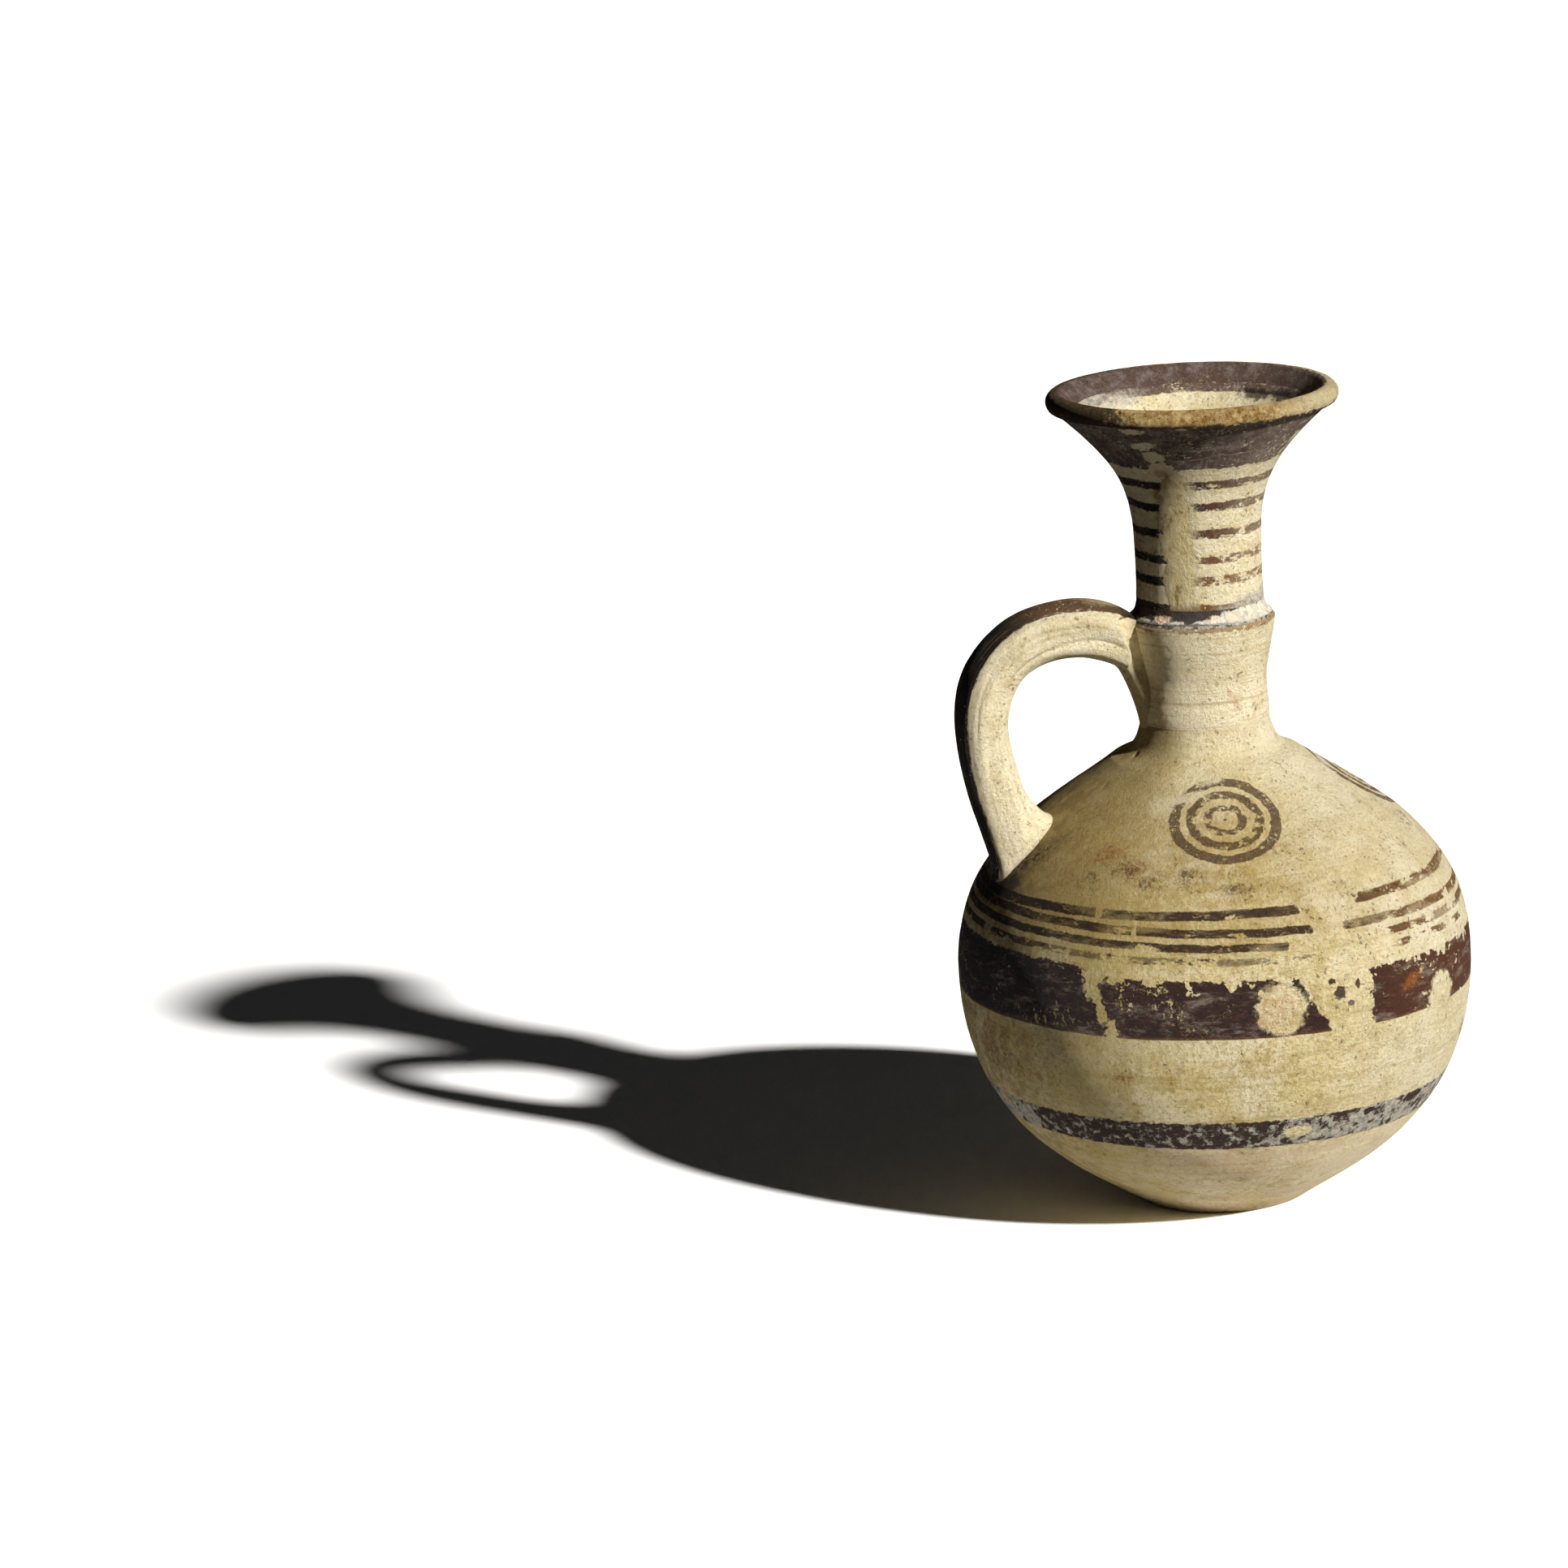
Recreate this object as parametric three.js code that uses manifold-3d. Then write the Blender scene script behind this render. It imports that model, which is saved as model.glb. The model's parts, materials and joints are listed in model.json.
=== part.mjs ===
// A wheel-made jug with a round body, a trumpet mouth and one strap handle.
// It is made up as its potter made it, of clay members joined with slip. The body is thrown as a
// bowl and closed by a dome. The lower neck stands on the dome inside a root coil, and its flared
// top is the socket in which the trumpet neck stands. The lip is rolled on to the trumpet, and the
// strap is pressed on to the neck and the shoulder, each time inside a collar of smoothed clay.
// Millimetres, +Z up. The origin is the centre of the underside, and the handle points along -X.

import * as THREE from 'three';
import { mergeVertices } from 'three/addons/utils/BufferGeometryUtils.js';
import Module from 'manifold-3d';

const wasm = await Module();
wasm.setup();

// Joints: the film of slip between two members that meet on a curved face
const SLIP_GAP = 0.3;

// Bowl: the lower half of the body, up to its greatest width
const BASE_RADIUS = 24;
const FOOT_RING_WIDTH = 8; // flat ring that the jug stands on
const BASE_HOLLOW = 1.2; // rise of the underside at the axis
const FLOOR_THICKNESS = 6.5;
const BELLY_RADIUS = 72.6;
const BOWL_HEIGHT = 69;
const BODY_WALL = 5;
const BOWL_CURVE_SHARES = [[0.35, 0.169], [1, 0.345]];

// Dome: the shoulder, drawn in to a flat ring on which the neck stands
const DOME_HEIGHT = 59;
const DOME_TOP_RADIUS = 26.6;
const DOME_CURVE_SHARES = [[0, 0.579], [0.589, 0.762]];

// Neck bore: one width through the lower neck and the foot of the trumpet
const NECK_BORE_RADIUS = 12.8;

// Root coil: the roll of clay smoothed into a fillet round the foot of the neck
const COIL_HEIGHT = 10;
const COIL_EDGE = 1.2; // thickness left at its upper edge
const COIL_CURVE_SHARES = [[0.667, 0.22], [0.762, 0.3]];

// Lower neck: a waisted cylinder whose flared top is a ridge and a socket
const LOWER_NECK_HEIGHT = 40;
const NECK_ROOT_RADIUS = 18.2;
const NECK_WAIST_RADIUS = 17.8;
const NECK_WAIST_RISE = 11; // above the top of the root coil
const NECK_WAIST_SHARES = [[0, 0.5], [1, 0.5]];
const RIDGE_RADIUS = 20.75;
const RIDGE_BEVEL_HEIGHT = 1.5;
const RIDGE_BEVEL_WIDTH = 0.95;
const RIDGE_CURVE_SHARES = [[0, 0.23], [0.644, 0.514]];
const SOCKET_DEPTH = 6;

// Slip bead: squeezed out in the corner between the ridge and the trumpet
const BEAD_WIDTH = 1.2;
const BEAD_HEIGHT = 1.5;
const BEAD_TOP_WIDTH = 0.5;

// Trumpet neck: a slim tube that opens into the funnel of the mouth
const TRUMPET_RISE = 59; // from the ridge to the seat of the lip
const TRUMPET_FOOT_RADIUS = 17.82;
const TRUMPET_WAIST_RADIUS = 17.64;
const TRUMPET_WAIST_RISE = 13; // above the ridge
const TRUMPET_FOOT_SHARES = [[0, 0.5], [1, 0.5]];
const TRUMPET_CURVE_SHARES = [[0, 0.42], [0, 0.605]];
const TRUMPET_RIM_WALL = 4.2;

// Rolled lip: a thick rounded edge that overhangs the funnel by a crease
const LIP_RADIUS = 40.85;
const LIP_ROLL_RADIUS = 3;
const LIP_HEIGHT = 5;
const LIP_CREASE = 1.95; // from the widest line of the lip in to the funnel
const LIP_INNER_ANGLE = THREE.MathUtils.degToRad(128);

// Strap handle: its centreline rises from the neck, turns over a crest and drops to the shoulder
const STRAP_THICKNESS = 14.4;
const STRAP_WIDTH = 17.5;
const STRAP_NECK_WIDTH = 19.5;
const STRAP_TAIL_WIDTH = 19;
const STRAP_ROOT_RADIUS = 11; // inner end of the centreline, buried in the neck
const STRAP_ROOT_DROP = 15.2; // below the top of the ridge
const STRAP_CREST_RADIUS = 38;
const STRAP_CREST_DROP = 1.4;
const STRAP_REACH = 71.6; // outer face of the strap, from the axis
const STRAP_REACH_DROP = 26.5;
const STRAP_TAIL_RADIUS = 54.6; // lower end of the centreline, buried in the shoulder
const STRAP_TAIL_RISE = 29; // above the greatest width
const STRAP_RISE_SHARES = [[0.33, 0.52], [0.556, 1]];
const STRAP_TURN_SHARES = [[0.62, 0], [1, 0.4]];
const STRAP_FALL_SHARES = [[0, 0.36], [0.66, 0.68]];
const STRAP_WIDENING_SHARE = 0.35; // of the centreline, over which each end widens
const STRAP_CORNER_POWER = 2.6; // 2 is an ellipse, and more is a squarer section

// Collars: clay smoothed round the two ends of the strap, fuller on the side of the hand gap
const COLLAR_EDGE = 1; // thickness at the far edge, with the slip
const COLLAR_FLARE_POWER = 2.5;
const NECK_COLLAR = { reach: 8, buried: 7, gapSide: 6, farSide: 0.2, flank: 2.4 };
const TAIL_COLLAR = { reach: 10.5, buried: 6, gapSide: 8.5, farSide: 0.4, flank: 3 };

// Fineness of the curves, in counts
const LATHE_SIDES = 48;
const BOWL_STEPS = 10;
const DOME_STEPS = 10;
const COIL_STEPS = 6;
const WAIST_STEPS = 2;
const RIDGE_STEPS = 5;
const TRUMPET_STEPS = 11;
const LIP_STEPS = 7;
const STRAP_STATIONS = 30;
const STRAP_SIDES = 24;
const COLLAR_LEVELS = 7;
const SEARCH_STEPS = 40;
const AXES = 3;

// Heights at which the members meet
const seamHeight = BOWL_HEIGHT;
const neckSeatHeight = seamHeight + DOME_HEIGHT;
const coilTopHeight = neckSeatHeight + COIL_HEIGHT;
const ridgeTopHeight = neckSeatHeight + LOWER_NECK_HEIGHT;
const socketFloorHeight = ridgeTopHeight - SOCKET_DEPTH;
const lipSeatHeight = ridgeTopHeight + TRUMPET_RISE;
const lipSeatRadius = LIP_RADIUS - LIP_CREASE;
const stubRadius = NECK_ROOT_RADIUS - COIL_EDGE - SLIP_GAP;
const socketRadius = TRUMPET_FOOT_RADIUS + SLIP_GAP;

const clay = (color, roughness) => new THREE.MeshStandardMaterial({ color, roughness, metalness: 0 });
const CREAM_SLIP = 0xd8c993;
const WARM_SLIP = 0xd2bd85;
const OCHRE_SLIP = 0xc09a55;
const UMBER_PAINT = 0x4a3028;
const LIME_WHITE = 0xd9d3c4;

// A point of an outline, as a radius from the axis and a height
function at(radius, height) {
  return new THREE.Vector2(radius, height);
}

// A smooth curve whose two handles are shares of the box between its ends
function bend(start, end, handleShares, steps) {
  const handles = handleShares.map(([across, up]) => {
    return at(start.x + across * (end.x - start.x), start.y + up * (end.y - start.y));
  });
  return new THREE.CubicBezierCurve(start, handles[0], handles[1], end).getPoints(steps);
}

// An outline moved outwards, mitred at its corners, by a distance that runs evenly from first to last
function offset(points, first, last = first) {
  const sideways = points.slice(1).map((point, i) => {
    const along = point.clone().sub(points[i]).normalize();
    return at(along.y, -along.x);
  });
  return points.map((point, i) => {
    const before = sideways[Math.max(i - 1, 0)];
    const after = sideways[Math.min(i, sideways.length - 1)];
    const distance = first + ((last - first) * i) / (points.length - 1);
    const mitre = distance / (1 + before.dot(after));
    return before.clone().add(after).multiplyScalar(mitre).add(point);
  });
}

// The radius of a rising outline at a height
function radiusAt(points, height) {
  const below = points.filter((point) => point.y < height).length;
  const next = THREE.MathUtils.clamp(below, 1, points.length - 1);
  const [lower, upper] = points.slice(next - 1, next + 1);
  const share = (height - lower.y) / (upper.y - lower.y);
  return lower.x + share * (upper.x - lower.x);
}

// The stretch of a rising outline between two heights
function stretch(points, low, high) {
  const inside = points.filter((point) => point.y > low && point.y < high);
  return [at(radiusAt(points, low), low), ...inside, at(radiusAt(points, high), high)];
}

// A geometry with its vertices merged, without the empty triangles of its poles
function weld(geometry) {
  geometry.deleteAttribute('normal');
  geometry.deleteAttribute('uv');
  const merged = mergeVertices(geometry);
  const corners = Array.from(merged.getIndex().array);
  const kept = [];
  for (let i = 0; i < corners.length; i += AXES) {
    const triangle = corners.slice(i, i + AXES);
    if (new Set(triangle).size === AXES) kept.push(...triangle);
  }
  merged.setIndex(kept);
  merged.computeVertexNormals();
  return merged;
}

// A body of revolution from a closed outline of radii and heights
function revolve(points) {
  const geometry = new THREE.LatheGeometry(points, LATHE_SIDES);
  geometry.rotateX(Math.PI / 2);
  return weld(geometry);
}

function solidOf(geometry) {
  const welded = weld(geometry);
  const vertProperties = welded.getAttribute('position').array;
  const triVerts = new Uint32Array(welded.getIndex().array);
  return new wasm.Manifold(new wasm.Mesh({ numProp: AXES, vertProperties, triVerts }));
}

function geometryOf(solid) {
  const mesh = solid.getMesh();
  const geometry = new THREE.BufferGeometry();
  geometry.setAttribute('position', new THREE.BufferAttribute(mesh.vertProperties, mesh.numProp));
  geometry.setIndex(new THREE.BufferAttribute(mesh.triVerts, 1));
  geometry.computeVertexNormals();
  return geometry;
}

// Outlines of the outer faces, from the foot to the lip
const foot = at(BASE_RADIUS, 0);
const belly = at(BELLY_RADIUS, seamHeight);
const domeTop = at(DOME_TOP_RADIUS, neckSeatHeight);
const neckRoot = at(NECK_ROOT_RADIUS, coilTopHeight);
const neckWaist = at(NECK_WAIST_RADIUS, coilTopHeight + NECK_WAIST_RISE);
const ridge = at(RIDGE_RADIUS, ridgeTopHeight - RIDGE_BEVEL_HEIGHT);
const ridgeTop = at(RIDGE_RADIUS - RIDGE_BEVEL_WIDTH, ridgeTopHeight);
const trumpetFoot = at(TRUMPET_FOOT_RADIUS, ridgeTopHeight);
const trumpetWaist = at(TRUMPET_WAIST_RADIUS, ridgeTopHeight + TRUMPET_WAIST_RISE);
const lipSeat = at(lipSeatRadius, lipSeatHeight);

const bowlOutline = bend(foot, belly, BOWL_CURVE_SHARES, BOWL_STEPS);
const domeOutline = bend(belly, domeTop, DOME_CURVE_SHARES, DOME_STEPS);
const coilOutline = bend(domeTop, neckRoot, COIL_CURVE_SHARES, COIL_STEPS);
const neckOutline = [
  ...bend(neckRoot, neckWaist, NECK_WAIST_SHARES, WAIST_STEPS),
  ...bend(neckWaist, ridge, RIDGE_CURVE_SHARES, RIDGE_STEPS).slice(1),
];
const beadOutline = [
  at(socketRadius + BEAD_WIDTH, ridgeTopHeight),
  at(socketRadius + BEAD_TOP_WIDTH, ridgeTopHeight + BEAD_HEIGHT),
];
const trumpetOutline = [
  ...bend(trumpetFoot, trumpetWaist, TRUMPET_FOOT_SHARES, WAIST_STEPS),
  ...bend(trumpetWaist, lipSeat, TRUMPET_CURVE_SHARES, TRUMPET_STEPS).slice(1),
];

// Everything inside the outer face, up to the bead, for trimming what is pressed on to it
function jugCore(clearance) {
  const beadTop = ridgeTopHeight + BEAD_HEIGHT;
  const skin = [
    ...bowlOutline,
    ...domeOutline.slice(1),
    ...coilOutline.slice(1),
    ...neckOutline.slice(1),
    ridgeTop,
    ...beadOutline,
    at(TRUMPET_FOOT_RADIUS, beadTop),
    ...trumpetOutline.filter((point) => point.y > beadTop),
  ];
  const grown = offset(skin, clearance);
  const underside = at(0, grown[0].y);
  const topside = at(0, grown[grown.length - 1].y);
  return solidOf(revolve([underside, ...grown, topside]));
}

function bowlGeometry() {
  const wall = stretch(offset(bowlOutline, -BODY_WALL), FLOOR_THICKNESS, seamHeight);
  const hollowEdge = at(BASE_RADIUS - FOOT_RING_WIDTH, 0);
  const underside = at(0, BASE_HOLLOW);
  const floor = at(0, FLOOR_THICKNESS);
  return revolve([underside, hollowEdge, ...bowlOutline, ...wall.reverse(), floor]);
}

function domeGeometry() {
  const inset = offset(domeOutline, -BODY_WALL);
  const undersideHeight = inset[inset.length - 1].y;
  const wall = stretch(inset, seamHeight, undersideHeight);
  const rimUnderside = at(NECK_BORE_RADIUS, undersideHeight);
  const rimTop = at(NECK_BORE_RADIUS, neckSeatHeight);
  return revolve([...domeOutline, rimTop, rimUnderside, ...wall.reverse(), domeOutline[0]]);
}

function coilGeometry() {
  const innerRadius = stubRadius + SLIP_GAP;
  const innerTop = at(innerRadius, coilTopHeight);
  const innerFoot = at(innerRadius, neckSeatHeight);
  return revolve([...coilOutline, innerTop, innerFoot, coilOutline[0]]);
}

function lowerNeckGeometry() {
  const stubFoot = at(stubRadius, neckSeatHeight);
  const stubTop = at(stubRadius, coilTopHeight);
  const socketMouth = at(socketRadius, ridgeTopHeight);
  const socketFloor = at(socketRadius, socketFloorHeight);
  const boreTop = at(NECK_BORE_RADIUS, socketFloorHeight);
  const boreFoot = at(NECK_BORE_RADIUS, neckSeatHeight);
  const bore = [ridgeTop, socketMouth, socketFloor, boreTop, boreFoot, stubFoot];
  return revolve([stubFoot, stubTop, ...neckOutline, ...bore]);
}

function beadGeometry() {
  const innerTop = at(socketRadius, ridgeTopHeight + BEAD_HEIGHT);
  const innerFoot = at(socketRadius, ridgeTopHeight);
  return revolve([innerFoot, ...beadOutline, innerTop, innerFoot]);
}

// The inner face of the funnel, up to where the lip is rolled on
function trumpetBore() {
  const footWall = TRUMPET_FOOT_RADIUS - NECK_BORE_RADIUS;
  const wall = offset(trumpetOutline, -footWall, -TRUMPET_RIM_WALL);
  return stretch(wall, ridgeTopHeight, lipSeatHeight);
}

function trumpetGeometry() {
  const tenonFoot = at(TRUMPET_FOOT_RADIUS, socketFloorHeight);
  const boreFoot = at(NECK_BORE_RADIUS, socketFloorHeight);
  return revolve([tenonFoot, ...trumpetOutline, ...trumpetBore().reverse(), boreFoot, tenonFoot]);
}

function lipGeometry() {
  const centre = at(LIP_RADIUS - LIP_ROLL_RADIUS, lipSeatHeight + LIP_HEIGHT - LIP_ROLL_RADIUS);
  const seatAngle = Math.asin((lipSeatHeight - centre.y) / LIP_ROLL_RADIUS);
  const roll = new THREE.EllipseCurve(
    centre.x, centre.y, LIP_ROLL_RADIUS, LIP_ROLL_RADIUS, seatAngle, LIP_INNER_ANGLE,
  ).getPoints(LIP_STEPS);
  const innerSeat = trumpetBore().pop();
  return revolve([innerSeat, ...roll, innerSeat]);
}

// Centreline of the strap, in the plane of the handle, from the neck to the shoulder
function strapPath() {
  const root = at(STRAP_ROOT_RADIUS, ridgeTopHeight - STRAP_ROOT_DROP);
  const crest = at(STRAP_CREST_RADIUS, ridgeTopHeight - STRAP_CREST_DROP);
  const reach = at(STRAP_REACH - STRAP_THICKNESS / 2, ridgeTopHeight - STRAP_REACH_DROP);
  const tail = at(STRAP_TAIL_RADIUS, seamHeight + STRAP_TAIL_RISE);
  const spans = [
    [root, crest, STRAP_RISE_SHARES],
    [crest, reach, STRAP_TURN_SHARES],
    [reach, tail, STRAP_FALL_SHARES],
  ];
  const path = new THREE.CurvePath();
  for (const [start, end, shares] of spans) {
    const points = [[0, 0], ...shares, [1, 1]].map(([across, up]) => {
      const radius = start.x + across * (end.x - start.x);
      return new THREE.Vector3(-radius, 0, start.y + up * (end.y - start.y));
    });
    path.add(new THREE.CubicBezierCurve3(...points));
  }
  return path;
}

const path = strapPath();

// Width of the strap at a share of its length: it widens towards both ends
function strapWidth(share) {
  const near = THREE.MathUtils.smoothstep(share, 0, STRAP_WIDENING_SHARE);
  const far = THREE.MathUtils.smoothstep(1 - share, 0, STRAP_WIDENING_SHARE);
  const necked = THREE.MathUtils.lerp(STRAP_NECK_WIDTH, STRAP_WIDTH, near);
  return necked + THREE.MathUtils.lerp(STRAP_TAIL_WIDTH - STRAP_WIDTH, 0, far);
}

// One rounded section: up is the side away from the hand gap, down is the side of the gap
function section(centre, up, upSize, downSize, flankSize) {
  const power = 2 / STRAP_CORNER_POWER;
  return Array.from({ length: STRAP_SIDES }, (_, i) => {
    const angle = (2 * Math.PI * i) / STRAP_SIDES;
    const across = Math.sign(Math.cos(angle)) * Math.abs(Math.cos(angle)) ** power;
    const rise = Math.sign(Math.sin(angle)) * Math.abs(Math.sin(angle)) ** power;
    const height = rise * (rise > 0 ? upSize : downSize);
    return centre.clone().addScaledVector(up, height).setY(across * flankSize);
  });
}

// A closed body through a row of sections, with a flat cap on each end
function loft(rings) {
  const sides = rings[0].length;
  const last = rings.length - 1;
  const middle = (ring) => {
    const sum = ring.reduce((total, point) => total.add(point), new THREE.Vector3());
    return sum.divideScalar(sides);
  };
  const points = [...rings.flat(), middle(rings[0]), middle(rings[last])];
  const startCentre = rings.length * sides;
  const endCentre = startCentre + 1;
  const faces = [];
  for (let side = 0; side < sides; side += 1) {
    const next = (side + 1) % sides;
    for (let ring = 0; ring < last; ring += 1) {
      const near = ring * sides;
      const far = near + sides;
      faces.push(near + side, far + side, near + next, near + next, far + side, far + next);
    }
    faces.push(startCentre, side, next);
    faces.push(endCentre, last * sides + next, last * sides + side);
  }
  const geometry = new THREE.BufferGeometry().setFromPoints(points);
  geometry.setIndex(faces);
  return geometry;
}

// The strap before it is trimmed, with a clearance all round
function strapBar(clearance) {
  const rings = Array.from({ length: STRAP_STATIONS + 1 }, (_, i) => {
    const share = i / STRAP_STATIONS;
    const along = path.getTangent(share);
    const up = new THREE.Vector3(along.z, 0, -along.x);
    const depth = STRAP_THICKNESS / 2 + clearance;
    const flank = strapWidth(share) / 2 + clearance;
    return section(path.getPoint(share), up, depth, depth, flank);
  });
  return solidOf(loft(rings));
}

// The share of the centreline at which a falling or rising measure passes zero
function crossing(measure, low, high) {
  let [inside, outside] = [low, high];
  for (let step = 0; step < SEARCH_STEPS; step += 1) {
    const middle = (inside + outside) / 2;
    if (measure(middle) < 0) inside = middle;
    else outside = middle;
  }
  return (inside + outside) / 2;
}

const skinOutline = [bowlOutline, domeOutline, coilOutline, neckOutline].flat();
const proudOfSkin = (share) => {
  const point = path.getPoint(share);
  return -point.x - radiusAt(skinOutline, point.z);
};

// A collar of clay round the strap where it enters the skin. Its sections lie parallel to the skin,
// and it flares towards the skin, most of all on the side of the hand gap.
function collarBody(buriedEnd, sizes) {
  const middleShare = 0.5;
  const joint = path.getPoint(crossing(proudOfSkin, buriedEnd, middleShare));
  const [above, below] = [joint.z + COLLAR_EDGE, joint.z - COLLAR_EDGE];
  const slope = (radiusAt(skinOutline, above) - radiusAt(skinOutline, below)) / (above - below);
  const outward = new THREE.Vector3(-1, 0, -slope).normalize();
  const gapward = new THREE.Vector3(outward.z, 0, -outward.x);
  if (gapward.z > 0 === buriedEnd < middleShare) gapward.negate();
  const rings = Array.from({ length: COLLAR_LEVELS + 1 }, (_, level) => {
    const share = level / COLLAR_LEVELS;
    const height = THREE.MathUtils.lerp(-sizes.buried, sizes.reach, share);
    const lift = (place) => path.getPoint(place).sub(joint).dot(outward) - height;
    const place = crossing(lift, buriedEnd, middleShare);
    const along = path.getTangent(place);
    const halfDepth = STRAP_THICKNESS / 2 / Math.abs(along.dot(outward)) + COLLAR_EDGE;
    const halfWidth = strapWidth(place) / 2 + COLLAR_EDGE;
    const flare = (1 - Math.max(height, 0) / sizes.reach) ** COLLAR_FLARE_POWER;
    return section(
      path.getPoint(place),
      gapward.clone().negate(),
      halfDepth + flare * sizes.farSide,
      halfDepth + flare * sizes.gapSide,
      halfWidth + flare * sizes.flank,
    );
  });
  if (buriedEnd > middleShare) rings.reverse();
  return solidOf(loft(rings));
}

const core = jugCore(SLIP_GAP);
const strap = strapBar(0).subtract(core);
const strapHole = strapBar(SLIP_GAP);
const neckCollar = collarBody(0, NECK_COLLAR).subtract(core).subtract(strapHole);
const tailCollar = collarBody(1, TAIL_COLLAR).subtract(core).subtract(strapHole);

const jug = new THREE.Group();
function addMember(name, geometry, material) {
  const mesh = new THREE.Mesh(geometry, material);
  mesh.name = name;
  jug.add(mesh);
}

addMember('body_bowl', bowlGeometry(), clay(CREAM_SLIP, 0.9));
addMember('shoulder_dome', domeGeometry(), clay(CREAM_SLIP, 0.85));
addMember('neck_root_coil', coilGeometry(), clay(CREAM_SLIP, 0.85));
addMember('lower_neck', lowerNeckGeometry(), clay(WARM_SLIP, 0.85));
addMember('ridge_slip_bead', beadGeometry(), clay(LIME_WHITE, 0.95));
addMember('trumpet_neck', trumpetGeometry(), clay(UMBER_PAINT, 0.8));
addMember('rolled_lip', lipGeometry(), clay(OCHRE_SLIP, 0.9));
addMember('handle_strap', geometryOf(strap), clay(WARM_SLIP, 0.85));
addMember('handle_neck_collar', geometryOf(neckCollar), clay(WARM_SLIP, 0.85));
addMember('handle_tail_collar', geometryOf(tailCollar), clay(WARM_SLIP, 0.85));

export default jug;
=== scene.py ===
# The looks of a wheel-made clay jug, slipped in cream, painted in dark bands and long buried.
# Metres, +Z up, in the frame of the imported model. The sections follow the jug as its potter put it
# together: the bowl of the body, the shoulder, the neck in two members, the lip and the handle.

import json

import bpy
import numpy as np
from mathutils import Matrix, Vector

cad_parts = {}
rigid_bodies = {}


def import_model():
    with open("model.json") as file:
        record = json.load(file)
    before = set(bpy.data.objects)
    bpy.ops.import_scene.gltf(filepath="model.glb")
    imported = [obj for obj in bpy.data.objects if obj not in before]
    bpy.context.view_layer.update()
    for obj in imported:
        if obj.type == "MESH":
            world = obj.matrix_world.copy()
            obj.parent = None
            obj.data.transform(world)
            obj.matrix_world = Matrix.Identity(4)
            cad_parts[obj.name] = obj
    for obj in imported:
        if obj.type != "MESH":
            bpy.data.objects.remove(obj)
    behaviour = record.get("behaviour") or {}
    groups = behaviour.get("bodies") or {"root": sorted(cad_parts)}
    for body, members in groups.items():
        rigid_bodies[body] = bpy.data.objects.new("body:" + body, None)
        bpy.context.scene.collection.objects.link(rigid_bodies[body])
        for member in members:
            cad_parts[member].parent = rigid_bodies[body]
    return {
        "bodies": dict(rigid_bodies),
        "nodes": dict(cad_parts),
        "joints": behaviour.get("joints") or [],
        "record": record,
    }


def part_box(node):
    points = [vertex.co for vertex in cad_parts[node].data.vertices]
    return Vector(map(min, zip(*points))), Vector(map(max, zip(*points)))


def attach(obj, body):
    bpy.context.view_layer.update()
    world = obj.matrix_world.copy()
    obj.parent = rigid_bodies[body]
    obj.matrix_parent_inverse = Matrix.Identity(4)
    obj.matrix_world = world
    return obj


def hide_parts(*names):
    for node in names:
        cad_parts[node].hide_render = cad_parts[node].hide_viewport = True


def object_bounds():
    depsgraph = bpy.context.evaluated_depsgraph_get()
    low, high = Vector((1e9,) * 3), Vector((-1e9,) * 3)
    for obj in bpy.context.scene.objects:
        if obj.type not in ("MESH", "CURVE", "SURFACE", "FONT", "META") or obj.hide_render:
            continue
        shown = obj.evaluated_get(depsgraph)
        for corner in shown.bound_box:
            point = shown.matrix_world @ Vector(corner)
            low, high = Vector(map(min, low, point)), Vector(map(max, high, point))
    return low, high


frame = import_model()
cad_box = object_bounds()

# Bowl of the body
# The lower half of the body, thrown as one open bowl with its floor and a slightly hollow base.
# Coarse buff clay under a cream slip, with a broad band at the belly and a narrow one lower down.

MM = 0.001
METRE = 1000
FINE_STEP = 0.75  # spacing of the points on a skin that shows, in millimetres
HIDDEN_STEP = 2.5
BEND_POINTS = 400  # points worked out on a curve before they are spaced


class Wire:
    """One output of a node. Arithmetic on wires adds Math nodes."""

    def __init__(self, graph, socket):
        self.graph = graph
        self.socket = socket

    def __add__(self, other):
        return self.graph.maths("ADD", self, other)

    def __radd__(self, other):
        return self.graph.maths("ADD", other, self)

    def __sub__(self, other):
        return self.graph.maths("SUBTRACT", self, other)

    def __rsub__(self, other):
        return self.graph.maths("SUBTRACT", other, self)

    def __mul__(self, other):
        return self.graph.maths("MULTIPLY", self, other)

    def __rmul__(self, other):
        return self.graph.maths("MULTIPLY", other, self)

    def __truediv__(self, other):
        return self.graph.maths("DIVIDE", self, other)

    def ramp(self, low, high, start=0.0, end=1.0):
        """Runs smoothly from start to end as the value goes from low to high."""
        values = {"Value": self, "From Min": low, "From Max": high, "To Min": start, "To Max": end}
        return self.graph.node("ShaderNodeMapRange", values, interpolation_type="SMOOTHSTEP")

    def span(self, first, full, gone, waning):
        """Rises from first to full, and falls from waning to gone."""
        return self.ramp(first, full) * self.ramp(gone, waning)


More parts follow.
